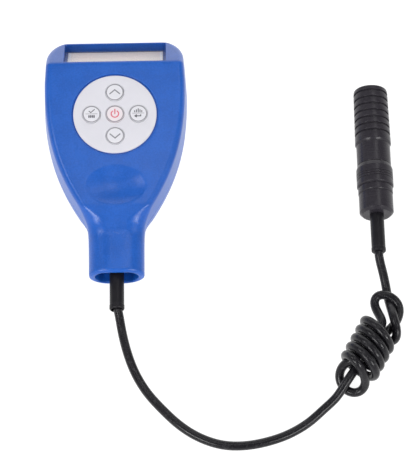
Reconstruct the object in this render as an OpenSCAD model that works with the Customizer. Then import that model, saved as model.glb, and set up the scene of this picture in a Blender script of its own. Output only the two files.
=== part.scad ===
// Hand-held coating thickness gauge: a keyhole-shaped housing with a slanted display pocket,
// a round five-key pad and a thumb dish, and a black wired probe on a cable wound into a hank.
// The housing lies on its back: +Z out of the keys, +Y towards the display, +X towards the probe.

/* [Housing] */
// Greatest width
body_w = 65; // [63:1:72]
// Length from the neck end to the display end
body_l = 118; // [114:1:126]
// Thickness at the front edge of the display face
body_h = 26; // [26:0.5:29]
// Width of the neck
neck_w = 24.6; // [23:0.2:27]
// Thickness of the neck
neck_h = 15.2; // [15:0.2:16.4]
// Length of the straight neck
neck_l = 24.5; // [23:0.5:27]
// Height of the parting plane above the back
split_z = 7.6; // [7.4:0.2:8.2]
// Wall of both shells
wall = 2; // [1.8:0.1:2.2]
// Width of the housing's drawn-in corners at the display end
corner_r = 8; // [6:0.5:9]
// Length of those corners along the housing
corner_l = 15; // [12:0.5:15.5]
// Radius of the long edges of the front
edge_r = 3; // [2.5:0.5:4]
// Radius of the long edges of the back
back_r = 3.5; // [2.5:0.5:4.5]
// How sharply the flanks draw in towards the neck
flank_power = 2.4; // [2:0.1:3]
// Slope of the front face down towards the neck, in degrees
face_slope = 5.6; // [5:0.2:6]

/* [Display] */
// Height of the end wall under the display face
end_h = 9.6; // [9.4:0.2:10.4]
// Length of the display face along Y
display_run = 19.2; // [18:0.2:20]
// Width of the display pocket
pocket_w = 46.4; // [44:0.2:48]
// Depth of the display pocket down to its window
pocket_d = 3.4; // [2.8:0.1:3.6]
// Thickness of the window
window_t = 1.2; // [0.8:0.1:1.4]
// Width of the display panel
panel_w = 43.6; // [40:0.2:44]

/* [Keypad] */
// Diameter of the keypad plate
pad_d = 37.8; // [36.4:0.2:39.4]
// Thickness of the keypad plate
pad_t = 0.8; // [0.6:0.1:1]
// Distance of the keypad centre from the front edge of the display face
pad_back = 25.4; // [24.4:0.2:26.4]
// Distance of the four outer keys from the middle one
key_pitch = 10.5; // [10.2:0.1:11.6]
// Diameter of a key
key_d = 8.2; // [7.6:0.2:8.4]
// Gap round a key
key_gap = 0.15; // [0.1:0.05:0.25]
// Press of a key
key_travel = 0.5; // [0.3:0.1:0.6]

/* [Thumb dish] */
// Width of the dish
dish_w = 27; // [22:1:29]
// Length of the dish
dish_l = 18.8; // [16:0.2:22]
// Depth of the dish
dish_d = 1.6; // [1:0.1:2]
// Distance of the dish from the keypad, centre to centre
dish_back = 34; // [33:0.2:37]

/* [Batteries] */
// Diameter of a cell
cell_d = 10.5; // [10.2:0.1:10.6]
// Length of a cell with its button
cell_l = 44.5; // [43.8:0.1:45]
// Distance between cell axes
cell_pitch = 10.7; // [10.7:0.1:10.9]
// Thickness of the battery door
door_t = 2.2; // [2:0.1:2.4]

/* [Cable] */
// Diameter of the cable
cable_d = 4; // [3.4:0.1:4.4]
// Diameter of the boot at the housing
boot_d = 6.2; // [5.8:0.1:6.6]
// Length of that boot outside the neck
boot_l = 15.4; // [10:0.1:18]
// Diameter of the wound hank
hank_d = 20; // [18:0.5:22]

/* [Probe] */
// Diameter of the grip at its tail end
grip_d = 16.3; // [16:0.1:17]
// Diameter of the grip at the tip
grip_tip_d = 15.5; // [15:0.1:16]
// Length of the grip
grip_l = 28; // [26:0.5:30]
// Grooves round the grip
grip_grooves = 7; // [5:1:7]
// Distance between the grooves
groove_pitch = 3.4; // [3:0.1:3.5]
// Diameter of the smooth barrel and the tail
barrel_d = 15.3; // [15:0.1:15.6]
// Diameter of the collar
collar_d = 16.5; // [16:0.1:17]
// Diameter of the sliding sensor core
core_d = 10; // [9.4:0.1:10.2]
// How far the sensor core stands out of the grip
core_out = 1.5; // [1.2:0.1:2]
// Length of the cable boot on the probe
tail_boot_l = 18.3; // [16:0.1:20]
// Diameter of that boot
tail_boot_d = 6.4; // [5.8:0.1:6.6]

/* [Fits] */
// Radial clearance of a running fit
run_gap = 0.1; // [0.06:0.01:0.15]
// Gap between pieces that are seated or glued
seat_gap = 0.05; // [0.03:0.01:0.1]

/* [Hidden] */
$fn = 96;
eps = 0.01;
y0 = -body_l / 2;
y1 = body_l / 2;
// Front edge of the display face, start of the neck, and the slope of the display face
y_edge = y1 - display_run;
y_neck = y0 + neck_l;
display_slope = atan((body_h - end_h) / display_run);
display_len = display_run / cos(display_slope);
// Widest station and the blend that draws the flanks in
y_wide = y_edge - 8.4;
soft_flank = 0.045;
// Length over which the front drops to the neck
shoulder_l = 14;
// Rounding of the two ends and the draft of the side walls
end_round = 1.6;
side_draft = 3;
// Keypad centre, on the sloping face
pad_y = y_edge - pad_back * cos(face_slope);
pad_z = body_h - pad_back * sin(face_slope);
flange_d = key_d + 1.4;
flange_t = 0.8;
key_proud = 0.2;
key_rest = 0.1;
stem_dip = 0.1;
key_sites = [[0, key_pitch], [0, -key_pitch], [0, 0], [-key_pitch, 0], [key_pitch, 0]];
// Board under the keys, its depth below the face
board_t = 1.6;
switch_h = 0.9;
board_drop = wall + key_rest + flange_t + key_travel + key_rest + switch_h;
board_w = 44;
board_l = 46;
board_shift = -1.5;
switch_w = 5;
stem_d = 3;
board_screws_at = [[-19, -18], [19, -18], [-19, 18], [19, 18]];
board_screw_d = 2;
board_boss_d = 4.6;
header_h = 2.1;
header_w = 8;
header_l = 5;
// Display pocket, measured up the display face from its front edge
pocket_lo = 1.2;
pocket_hi = display_len - 1.6;
pocket_l = pocket_hi - pocket_lo;
well_wall = 1.4;
panel_l = 18.8;
panel_mid = 12.75;
panel_t = 2.4;
carrier_t = 1.6;
// Shell screws
screw_d = 2.6;
screw_head_d = 4.8;
screw_head_h = 2;
boss_d = 6;
screw_sink = 3;
thread_l = 4;
cross_w = 2.6;
cross_t = 0.6;
screw_l = split_z + thread_l - screw_sink;
// Battery bay
bay_w = 4 * cell_pitch + 0.8;
bay_l = cell_l + 4.5;
bay_y1 = y_edge - 2.9;
bay_y0 = bay_y1 - bay_l;
door_clear = 0.3;
cell_z = door_clear + door_t + 0.2 + cell_d / 2;
bay_top = cell_z + cell_d / 2 + 0.2;
bay_wall = 1.2;
bay_roof = 0.8;
bay_corner = 1.5;
tray_corner = bay_corner + bay_wall * (2 - sqrt(2));
tray_clear = 0.44;
contact_t = 0.4;
rail = 1.2;
rail_t = 1.1;
door_w = bay_w - 1.6;
contact_w = cell_d - 2.3;
// Screw stations beside the display and behind the battery bay, and their distance from the flank
screw_y = [y_edge - 7.4, bay_y0 - 10.9];
screw_in = [6.3, 7.25];
// Chips on the board: left, front, length and width of each
chip_h = 1.4;
chips = [[-13, -21, 10, 5], [3, -21, 8, 5], [-21, 6, 6, 4], [15, 6, 6, 5]];
// Cable recess in the neck end
recess_w = 19;
recess_h = 10;
recess_d = 7;
gland_t = 2.5;
boot_neck_d = boot_d - 0.8;
boot_flange_d = boot_d + 3;
// Probe: place of its tip end on the table and its lengths
probe_tip = [116.5, 31.4];
probe_r = collar_d / 2;
barrel_l = 10.2;
collar_cone = 2.1;
collar_l = 10.6;
band_l = 3.7;
tail_l = 9.7;
z_barrel = grip_l;
z_collar = z_barrel + barrel_l;
z_band = z_collar + collar_l;
z_tail = z_band + band_l;
probe_l = z_tail + tail_l;
spigot_d = core_d + 2.2;
core_l = 13;
core_nose_d = core_d - 2;
nose_lip = 2.4;
pole_d = 3;
winding_d = core_d - 2.4;
spring_wire = 0.7;
// Hank: middle, direction and length of its coil on the table, and its two loops
hank_mid = [110, -96.5];
hank_turn = 61;
hank_l = 28;
top_loop = [117.6, -77];
top_loop_d = 17;
low_loop = [104.6, -109.5];
low_loop_d = 13;
loop_h = 9;

// Smooth least and greatest of two values, rounded over a width k
function soft_min(a, b, k) = (a + b - sqrt((a - b) * (a - b) + k * k)) / 2;
function soft_max(a, b, k) = (a + b + sqrt((a - b) * (a - b) + k * k)) / 2;

// Drop of a quarter round of radius r at a distance e from its end
function round_drop(e, r) = e >= r ? 0 : r - sqrt(max(0, r * r - (r - max(0, e)) * (r - max(0, e))));

// The flanks draw in no more sharply than the battery tray inside them allows
tray_y = bay_y0 - bay_wall + tray_corner;
tray_reach = (bay_w / 2 + bay_wall + wall + tray_clear - neck_w / 2) / ((body_w - neck_w) / 2);
tray_power = ln(1 - tray_reach) / ln(1 - (tray_y - y_neck) / (y_wide - y_neck));

// Fraction of the way from the neck's width to the full width
function flank(y) =
    let (u = (y - y_neck) / (y_wide - y_neck))
    let (s = min(1, soft_max(u, 0, soft_flank)))
    1 - pow(1 - s, max(flank_power, tray_power));

// Blend of the front from the neck's height to the sloping face
function shoulder(y) =
    let (u = max(0, min(1, (y - y_neck) / shoulder_l + 0.5)))
    u * u * (3 - 2 * u);

// Half-width of the housing at the parting plane, inset by d
function half_w(y, d) =
    let (full = neck_w / 2 + (body_w - neck_w) / 2 * flank(y))
    let (slim = y > y_wide ? 0.05 * (y - y_wide) : 0)
    full - slim - d
        - round_drop(y1 - d - y, corner_l - d) * (corner_r - d) / (corner_l - d)
        - (d == 0 ? round_drop(y - y0, end_round) : 0);

// Height of the front, inset by d
function top_z(y, d) =
    let (slope = body_h + (y - y_edge) * tan(face_slope) - d / cos(face_slope))
    let (front = neck_h - d + (slope - neck_h + d) * shoulder(y))
    let (display = body_h - (y - y_edge) * tan(display_slope) - d / cos(display_slope))
    let (z = soft_min(front, display, 0.5))
    max(z - (d == 0 ? round_drop(y - y0, end_round) + round_drop(y1 - y, end_round / 2) : 0), split_z + 0.4);

// Height of the back, inset by d
function back_z(y, d) =
    d + (d == 0 ? round_drop(y - y0, end_round) + round_drop(y1 - y, end_round) : 0);

// Size of a rounded long edge, blended from the body to the rounder neck
function blend(y, at_body, at_neck, d) =
    max(0.6, at_neck + (at_body - at_neck) * min(1, 5 * flank(y)) - d * 0.7);

// Half of a section from the parting plane to the crest, for the front (sign 1) or the back (sign -1)
arc_steps = 6;
function half_section(y, d, sign) =
    let (crest = sign > 0 ? top_z(y, d) : back_z(y, d))
    let (rise = abs(crest - split_z))
    let (edge = sign > 0 ? edge_r : back_r)
    let (rz = min(blend(y, edge, neck_h * 0.45, d), rise - 0.2))
    let (rx = min(blend(y, edge, neck_w * 0.4, d), half_w(y, d) - 0.5))
    let (cx = half_w(y, d) - (rise - rz) * tan(side_draft) - rx)
    concat(
        [[half_w(y, d), split_z]],
        [for (i = [0 : arc_steps])
            [cx + rx * cos(90 * i / arc_steps), split_z + sign * (rise - rz + rz * sin(90 * i / arc_steps))]]
    );

function mirrored(half) = concat(half, [for (i = [len(half) - 1 : -1 : 0]) [-half[i][0], half[i][1]]]);
function section(y, d, sign) = [for (p = mirrored(half_section(y, d, sign))) [p[0], y, p[1]]];

// Stations along the housing, closer together at its rounded ends and its edge
stations = concat(
    [for (a = [90, 55, 25, 0]) y0 + end_round * (1 - sin(a))],
    [for (i = [1 : 26]) y_neck - 4 + (y_wide - y_neck + 4) * pow(i / 26, 1.35)],
    [y_edge - 2, y_edge - 0.6, y_edge, y_edge + 0.6, y_edge + 2],
    [for (a = [0, 18, 34, 48, 60, 70, 79, 85, 90]) y1 - corner_l + corner_l * sin(a)]
);
function inner_station(y) = y0 + wall + (y - y0) * (body_l - 2 * wall) / body_l;

screw_sites = [for (i = [0, 1]) for (s = [-1, 1])
    [s * (half_w(screw_y[i], 0) - screw_in[i]), screw_y[i]]];

// A shell open at the parting plane: outer sections, inner sections, end caps and the rim between them
module lofted_shell(sign) {
    outer = [for (y = stations) section(y, 0, sign)];
    inner = [for (y = stations) section(inner_station(y), wall, sign)];
    rows = len(stations);
    n = len(outer[0]);
    base = rows * n;
    function at(i, j) = i * n + j;
    skin = [for (i = [0 : rows - 2]) for (j = [0 : n - 2])
        each [[at(i, j), at(i + 1, j), at(i + 1, j + 1)], [at(i, j), at(i + 1, j + 1), at(i, j + 1)]]];
    ends = [for (j = [1 : n - 2])
        each [[at(0, 0), at(0, j), at(0, j + 1)], [at(rows - 1, 0), at(rows - 1, j + 1), at(rows - 1, j)]]];
    lining = [for (f = concat(skin, ends)) [f[0] + base, f[2] + base, f[1] + base]];
    right_rim = [for (i = [0 : rows - 2])
        each [[at(i, 0), at(i, 0) + base, at(i + 1, 0) + base],
            [at(i, 0), at(i + 1, 0) + base, at(i + 1, 0)]]];
    left_rim = [for (i = [0 : rows - 2])
        each [[at(i, n - 1), at(i + 1, n - 1) + base, at(i, n - 1) + base],
            [at(i, n - 1), at(i + 1, n - 1), at(i + 1, n - 1) + base]]];
    neck_rim = [[at(0, 0), at(0, n - 1), at(0, n - 1) + base],
        [at(0, 0), at(0, n - 1) + base, at(0, 0) + base]];
    k = rows - 1;
    end_rim = [[at(k, 0), at(k, n - 1) + base, at(k, n - 1)], [at(k, 0), at(k, 0) + base, at(k, n - 1) + base]];
    faces = concat(skin, ends, lining, right_rim, left_rim, neck_rim, end_rim);
    points = [for (part = [outer, inner]) for (row = part) for (p = row) p];
    polyhedron(points = points, faces = sign < 0 ? faces : [for (f = faces) [f[0], f[2], f[1]]]);
}

// Frame on the sloping face, at the keypad centre, z out of the face
module on_face() {
    translate([0, pad_y, pad_z]) rotate([face_slope, 0, 0]) children();
}

// Frame on the display face, at its front edge, y up the face and z out of it
module on_display() {
    translate([0, y_edge, body_h]) rotate([-display_slope, 0, 0]) children();
}

// Frame on the neck end, z out of the neck
module on_neck() {
    translate([0, y0, split_z]) rotate([90, 0, 0]) children();
}

// Frame on the probe axis, z from the tip towards the tail
module on_probe() {
    translate([probe_tip[0], probe_tip[1], probe_r]) rotate([90, 0, 0]) children();
}

module slot(w, h, depth) {
    linear_extrude(depth) {
        square([w - h, h], center = true);
        for (s = [-1, 1]) translate([s * (w - h) / 2, 0]) circle(d = h);
    }
}

// Oval recess of the neck end and the hole in the gland wall behind it
module neck_cut() {
    on_neck() {
        translate([0, 0, -recess_d]) slot(recess_w, recess_h, recess_d + 1);
        translate([0, 0, -recess_d - gland_t - 1])
            cylinder(d = boot_neck_d + 2 * seat_gap, h = gland_t + 2);
    }
}

// Solid end of the neck, in which the recess is cut
module neck_plug(sign) {
    depth = recess_d + gland_t;
    intersection() {
        translate([-neck_w / 2 + 1, y0 + 1, sign > 0 ? split_z : 1])
            cube([neck_w - 2, depth - 1, sign > 0 ? neck_h - split_z - 1 : split_z - 1]);
        on_neck() translate([0, 0, -depth]) slot(neck_w - 2, neck_h - 2, depth);
    }
}

// Spindle-shaped cutter of the thumb dish: wide, shallow and round in both directions
module dish_cut() {
    rise = (dish_l * dish_l / 4 - dish_d * dish_d) / (2 * dish_d);
    waist = rise + dish_d;
    bow = (dish_w * dish_w / 4 + dish_d * dish_d) / (2 * dish_d);
    on_face() translate([0, -dish_back, rise]) rotate([0, 90, 0])
        rotate_extrude() intersection() {
            translate([waist - bow, 0]) circle(r = bow);
            translate([0, -dish_w]) square([waist + 1, 2 * dish_w]);
        }
}

module front_shell() {
    color("steelblue") difference() {
        union() {
            lofted_shell(1);
            // Backing of the thumb dish
            on_face() translate([-0.4 * dish_w, -dish_back - 0.4 * dish_l, -wall - 1.4])
                cube([0.8 * dish_w, 0.8 * dish_l, 2]);
            // Well of the display pocket
            on_display()
                translate([-pocket_w / 2 - well_wall, pocket_lo - 0.4, -pocket_d - window_t - well_wall])
                    cube([pocket_w + 2 * well_wall, pocket_l + 0.9, pocket_d + window_t + well_wall - 0.6]);
            neck_plug(1);
            for (s = screw_sites)
                translate([s[0], s[1], split_z])
                    cylinder(d = boss_d, h = top_z(s[1] - boss_d / 2, wall / 2) - split_z);
            for (s = board_screws_at)
                on_face() translate([s[0], s[1] + board_shift, -board_drop])
                    cylinder(d = board_boss_d, h = board_drop - wall / 2);
        }
        on_display() translate([-pocket_w / 2, pocket_lo, -pocket_d - window_t])
            cube([pocket_w, pocket_l, pocket_d + window_t + 6]);
        on_display() translate([-panel_w / 2 - 0.2, panel_mid - panel_l / 2 - 0.2, -pocket_d - window_t - 6])
            cube([panel_w + 0.4, panel_l + 0.4, 8]);
        on_face() translate([0, 0, -pad_t]) cylinder(d = pad_d + 2 * seat_gap, h = pad_t + 3);
        for (s = key_sites)
            on_face() translate([s[0], s[1], -wall - 1]) cylinder(d = key_d + 2 * key_gap, h = wall + 2);
        for (s = board_screws_at)
            on_face() translate([s[0], s[1] + board_shift, -board_drop - 1])
                cylinder(d = board_screw_d + 2 * seat_gap, h = 5);
        for (s = screw_sites)
            translate([s[0], s[1], split_z - 1]) cylinder(d = screw_d + 2 * seat_gap, h = thread_l + 1.5);
        dish_cut();
        neck_cut();
    }
}

// Plan of the battery door: a narrow outer plate under a wider flange that runs on the rails
module door_solid(grow, reach) {
    y_in = bay_y0 - grow;
    translate([-door_w / 2 - grow, y_in, door_clear])
        cube([door_w + 2 * grow, reach - y_in, rail_t + eps]);
    translate([-door_w / 2 - rail - grow, y_in - rail, door_clear + rail_t - grow])
        cube([door_w + 2 * rail + 2 * grow, reach - y_in + rail, door_t - rail_t + 2 * grow]);
}

// Plan of the battery bay, grown by a wall, with its corners at the neck end cut off
module bay_plan(grow, corner) {
    x = bay_w / 2 + grow;
    near = bay_y0 - grow;
    far = bay_y1 + grow;
    polygon([
        [-x, far], [-x, near + corner], [-x + corner, near],
        [x - corner, near], [x, near + corner], [x, far]
    ]);
}

module rear_shell() {
    color("cornflowerblue") difference() {
        union() {
            lofted_shell(-1);
            // Floor strips that carry the door rails
            translate([-bay_w / 2 - bay_wall, bay_y0 - 2.6, 1])
                cube([bay_w + 2 * bay_wall, y1 - 3 - bay_y0 + 2.6, door_clear + door_t + 0.1]);
            // Battery tray
            translate([0, 0, 1]) linear_extrude(bay_top + bay_roof - 1) bay_plan(bay_wall, tray_corner);
            neck_plug(-1);
            for (s = screw_sites)
                translate([s[0], s[1], 1]) cylinder(d = boss_d + 0.6, h = split_z - 1);
        }
        translate([0, 0, -1]) linear_extrude(bay_top + 1) bay_plan(0, bay_corner);
        translate([0, 0, -door_clear]) door_solid(run_gap, y1 + 5);
        translate([0, 0, 0]) door_solid(run_gap, y1 + 5);
        for (s = screw_sites) {
            translate([s[0], s[1], -1]) cylinder(d = screw_d + 0.4, h = split_z + 2);
            translate([s[0], s[1], -1]) cylinder(d = screw_head_d + 0.4, h = screw_sink + 1);
        }
        neck_cut();
    }
}

module battery_door() {
    color("royalblue") difference() {
        door_solid(0, y1 - 1.2);
        // Thumb ridges
        for (i = [0 : 5])
            translate([-9, y1 - 22 + 2.4 * i, door_clear - 0.5]) cube([18, 1.2, 0.9]);
    }
}

module display_window() {
    color("lightcyan") on_display()
        translate([-pocket_w / 2 + seat_gap, pocket_lo + seat_gap, -pocket_d - window_t])
            cube([pocket_w - 2 * seat_gap, pocket_l - 2 * seat_gap, window_t]);
}

module display_panel() {
    color("silver") on_display()
        translate([-panel_w / 2, panel_mid - panel_l / 2, -pocket_d - window_t - panel_t])
            cube([panel_w, panel_l, panel_t - seat_gap]);
}

module display_carrier() {
    top = -pocket_d - window_t - well_wall;
    color("dimgray") on_display() difference() {
        translate([-panel_w / 2 - 1.5, panel_mid - panel_l / 2 - 1.2, top - carrier_t - 1])
            cube([panel_w + 3, panel_l + 2.4, carrier_t + 1]);
        translate([-panel_w / 2 - 0.1, panel_mid - panel_l / 2 - 0.1, top - 1])
            cube([panel_w + 0.2, panel_l + 0.2, 2]);
        // Slit for the contact strip
        translate([-panel_w / 2 + 4, panel_mid - panel_l / 2 + 0.5, top - 6])
            cube([panel_w - 8, 2.2, 10]);
    }
}

module display_strip() {
    color("pink") on_display()
        translate([-panel_w / 2 + 4.2, panel_mid - panel_l / 2 + 0.6, -pocket_d - window_t - panel_t - 3.4])
            cube([panel_w - 8.4, 2, 3.4]);
}

module keypad_plate() {
    color("whitesmoke") on_face() difference() {
        translate([0, 0, -pad_t]) cylinder(d = pad_d, h = pad_t - 0.05);
        for (s = key_sites) translate([s[0], s[1], -2]) cylinder(d = key_d + 2 * key_gap, h = 4);
    }
}

// A key: cap flush with the plate, flange under the shell wall, stem down to its switch
module key(site) {
    color("white") on_face() translate([site[0], site[1], 0]) {
        translate([0, 0, -wall - key_rest - eps]) cylinder(d = key_d, h = wall + key_rest + eps + key_proud);
        translate([0, 0, -wall - key_rest - flange_t]) cylinder(d = flange_d, h = flange_t);
        translate([0, 0, -board_drop + switch_h - stem_dip])
            cylinder(d = stem_d, h = board_drop - switch_h + stem_dip - wall - flange_t);
    }
}

module key_up() {
    key(key_sites[0]);
}

module key_down() {
    key(key_sites[1]);
}

module key_power() {
    key(key_sites[2]);
}

module key_left() {
    key(key_sites[3]);
}

module key_right() {
    key(key_sites[4]);
}

module key_switches() {
    color("black") on_face() for (s = key_sites) translate([s[0], s[1], -board_drop]) difference() {
        translate([-switch_w / 2, -switch_w / 2, 0]) cube([switch_w, switch_w, switch_h]);
        translate([0, 0, switch_h - key_travel - stem_dip - 0.15]) cylinder(d = stem_d + 0.6, h = 2);
    }
}

module main_board() {
    color("darkgreen") on_face() translate([0, board_shift, -board_drop - board_t]) difference() {
        translate([-board_w / 2, -board_l / 2, 0]) cube([board_w, board_l, board_t - seat_gap / 2]);
        for (s = board_screws_at)
            translate([s[0], s[1], -1]) cylinder(d = board_screw_d + 0.4, h = board_t + 2);
    }
}

module board_chips() {
    color("gray") on_face() translate([0, board_shift, -board_drop]) {
        for (c = chips) translate([c[0], c[1], 0]) cube([c[2], c[3], chip_h]);
    }
}

// Header that takes the cable's cores, on the end of the board by the neck
module cable_header() {
    color("ivory") on_face()
        translate([-header_w / 2, board_shift - board_l / 2 - header_l, -board_drop - board_t]) difference() {
            cube([header_w, header_l - eps, header_h]);
            translate([1, -1, 0.5]) cube([header_w - 2, header_l - 1, header_h - 1]);
        }
}

module board_screws() {
    color("silver") on_face() for (s = board_screws_at) translate([s[0], s[1] + board_shift, -board_drop]) {
        translate([0, 0, -board_t - 1.3]) cylinder(d = 3.6, h = 1.3);
        translate([0, 0, -board_t - 0.2]) cylinder(d = board_screw_d, h = board_t + 3.4);
    }
}

module shell_screws() {
    color("silver") for (s = screw_sites) difference() {
        union() {
            translate([s[0], s[1], screw_sink - screw_head_h]) cylinder(d = screw_head_d, h = screw_head_h);
            translate([s[0], s[1], screw_sink - eps]) cylinder(d = screw_d, h = screw_l);
        }
        for (a = [0, 90])
            translate([s[0], s[1], screw_sink - screw_head_h]) rotate([0, 0, a])
                cube([cross_w, cross_t, 0.9 * screw_head_h], center = true);
    }
}

// Cells side by side, every other one turned round
cell_x = [for (i = [0 : 3]) (i - 1.5) * cell_pitch];
function cell_turned(i) = i % 2 == 1;
spring_l = bay_l - cell_l - 2 * contact_t - 0.1;

module batteries() {
    color("gold") for (i = [0 : 3])
        translate([cell_x[i], cell_turned(i) ? bay_y1 - contact_t - 0.05 : bay_y0 + contact_t + 0.05, cell_z])
            rotate([cell_turned(i) ? 90 : -90, 0, 0]) {
                translate([0, 0, 1]) cylinder(d = cell_d, h = cell_l - 1);
                cylinder(d = 3.8, h = 1.5);
            }
}

// A round wire wound along z between two heights
function coil_ring(a, r, wire, z, sides) = [for (k = [0 : sides - 1])
    let (q = 360 * k / sides)
    [(r + wire / 2 * cos(q)) * cos(a), (r + wire / 2 * cos(q)) * sin(a), z + wire / 2 * sin(q)]];

module tube_along(rings) {
    n = len(rings[0]);
    last = len(rings) - 1;
    points = [for (ring = rings) for (p = ring) p];
    side = [for (i = [0 : last - 1]) for (j = [0 : n - 1])
        let (m = (j + 1) % n)
        each [[i * n + j, i * n + m, (i + 1) * n + m], [i * n + j, (i + 1) * n + m, (i + 1) * n + j]]];
    caps = [for (j = [1 : n - 2]) each [[0, j + 1, j], [last * n, last * n + j, last * n + j + 1]]];
    polyhedron(points = points, faces = concat(side, caps));
}

module coil(r_from, r_to, wire, height, turns, steps, sides) {
    total = turns * steps;
    tube_along([for (i = [0 : total])
        coil_ring(-360 * i / steps, r_from + (r_to - r_from) * i / total, wire,
            wire / 2 + (height - wire) * i / total, sides)]);
}

module battery_springs() {
    color("silver") for (i = [0 : 3])
        translate([cell_x[i], cell_turned(i) ? bay_y0 + contact_t : bay_y1 - contact_t, cell_z])
            rotate([cell_turned(i) ? -90 : 90, 0, 0]) coil(3.6, 2.2, 0.6, spring_l, 3, 10, 6);
}

module battery_contacts() {
    color("lightgray") for (i = [0 : 3]) for (y = [bay_y0, bay_y1 - contact_t])
        translate([cell_x[i] - contact_w / 2, y, cell_z - contact_w / 2])
            cube([contact_w, contact_t - 0.02, contact_w]);
}

// Boot of the cable: flange behind the gland wall, waist in it, sleeve through the recess
module body_boot() {
    back = -recess_d - gland_t - 1.6;
    color("black") on_neck() rotate_extrude() difference() {
        union() {
            translate([0, back]) square([boot_flange_d / 2, 1.5]);
            translate([0, back + 1.4]) square([boot_neck_d / 2, gland_t + 0.3]);
            translate([0, -recess_d + 0.1]) square([boot_d / 2, recess_d + boot_l - 0.6]);
            translate([0, boot_l - 0.6]) square([boot_d / 2 - 0.4, 0.6]);
        }
        translate([-1, back - 1]) square([cable_d / 2 + 1, boot_l - back - 1]);
    }
}

// Route of the cable on the table: the run from the neck to the hank and the tail to the probe
cable_r = cable_d / 2;
run_from = y0 - boot_l;
run_points = [
    [0, run_from - 0.1, split_z], [0, run_from - 1.5, split_z], [0, run_from - 3, split_z],
    [2, run_from - 8, split_z - 1], [4.5, -90, cable_r + 2.5],
    [8.5, -101, cable_r + 0.7], [14, -111.5, cable_r], [22.5, -122, cable_r], [31, -130, cable_r],
    [40, -135, cable_r], [49, -136.7, cable_r], [58, -136.5, cable_r], [67.5, -134, cable_r],
    [76.5, -130, cable_r], [83, -125.5, cable_r], [89.5, -119, cable_r + 0.5], [94.5, -112.5, cable_r + 1.5],
    [99, -106, cable_r + 3]
];
tail_from = probe_tip[1] - probe_l - tail_boot_l;
tail_points = [
    [probe_tip[0], tail_from - 0.1, probe_r], [probe_tip[0], tail_from - 1.5, probe_r],
    [probe_tip[0], tail_from - 3, probe_r],
    [117.4, -56.5, 7.5], [118.6, -62.5, 6.6], [119.2, -69, 6.2]
];

// A point of a smooth curve through the listed points
function curve_at(pts, i, t) =
    let (a = pts[max(i - 1, 0)], b = pts[i], c = pts[i + 1], d = pts[min(i + 2, len(pts) - 1)])
    0.5 * (2 * b + (c - a) * t + (2 * a - 5 * b + 4 * c - d) * t * t + (3 * b - a - 3 * c + d) * t * t * t);
function curve(pts, steps) = concat(
    [for (i = [0 : len(pts) - 2]) for (k = [0 : steps - 1]) curve_at(pts, i, k / steps)],
    [pts[len(pts) - 1]]
);
function unit(v) = v / norm(v);
function cord_ring(path, i, r, sides) =
    let (along = unit(path[min(i + 1, len(path) - 1)] - path[max(i - 1, 0)]))
    let (side = unit(cross(along, [0, 0, 1])))
    let (up = cross(side, along))
    [for (k = [0 : sides - 1]) path[i] + r * (cos(360 * k / sides) * side + sin(360 * k / sides) * up)];

module cord(path, sides) {
    tube_along([for (i = [0 : len(path) - 1]) cord_ring(path, i, cable_d / 2 - 0.05, sides)]);
}

module cable_run() {
    color("black") cord(curve(run_points, 2), 10);
}

module cable_tail() {
    color("black") cord(curve(tail_points, 2), 10);
}

// Outer shape of the wound hank: the coil lying on its side and the loop at each end of it
module cable_hank() {
    color("black") {
        translate([hank_mid[0], hank_mid[1], hank_d / 2]) rotate([0, 0, hank_turn]) rotate([0, 90, 0])
            cylinder(d = hank_d, h = hank_l, center = true);
        translate([top_loop[0], top_loop[1], 3]) cylinder(d = top_loop_d, h = loop_h);
        translate([low_loop[0], low_loop[1], 1]) cylinder(d = low_loop_d, h = loop_h);
    }
}

function grip_r(z) = (grip_tip_d + (grip_d - grip_tip_d) * z / grip_l) / 2;

module probe_grip() {
    color("black") on_probe() difference() {
        rotate_extrude() difference() {
            polygon([
                [core_nose_d / 2 + run_gap, 0], [grip_r(0) - 0.7, 0], [grip_r(0.7), 0.7],
                [grip_r(grip_l), grip_l - 1], [grip_r(grip_l) - 0.8, grip_l],
                [spigot_d / 2 + seat_gap, grip_l], [spigot_d / 2 + seat_gap, grip_l - 7.5],
                [core_d / 2 + run_gap, grip_l - 7.5], [core_d / 2 + run_gap, nose_lip],
                [core_nose_d / 2 + run_gap, nose_lip]
            ]);
            for (i = [0 : grip_grooves - 1])
                translate([grip_r(3 + groove_pitch * i), 2.6 + groove_pitch * i]) circle(d = 1.1);
        }
        // Guide groove across the tip for round work
        translate([-collar_d, 0, 0]) rotate([0, 90, 0]) linear_extrude(2 * collar_d)
            polygon([[0.5, -2.2], [0.5, 2.2], [-1.4, 0]]);
    }
}

module probe_barrel() {
    bore = cable_d + 1;
    color("black") on_probe() rotate_extrude() polygon([
        [bore / 2, z_barrel - 7.3], [spigot_d / 2, z_barrel - 7.3], [spigot_d / 2, z_barrel + 0.1],
        [barrel_d / 2, z_barrel + 0.1], [barrel_d / 2, z_collar], [spigot_d / 2, z_collar],
        [spigot_d / 2, z_collar + 6], [bore / 2, z_collar + 6]
    ]);
}

module probe_collar() {
    color("black") on_probe() rotate_extrude() difference() {
        polygon([
            [spigot_d / 2 + seat_gap, z_collar + 0.1], [barrel_d / 2, z_collar + 0.1],
            [collar_d / 2, z_collar + collar_cone], [collar_d / 2, z_band - 0.5], [collar_d / 2 - 0.4, z_band],
            [barrel_d / 2 + 0.15, z_band + 0.2], [barrel_d / 2 + 0.15, z_tail - 0.5],
            [barrel_d / 2 - 0.3, z_tail], [spigot_d / 2 + seat_gap, z_tail]
        ]);
        for (i = [0 : 2]) translate([collar_d / 2, z_collar + 5 + 1.2 * i]) circle(d = 0.6);
    }
}

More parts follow.
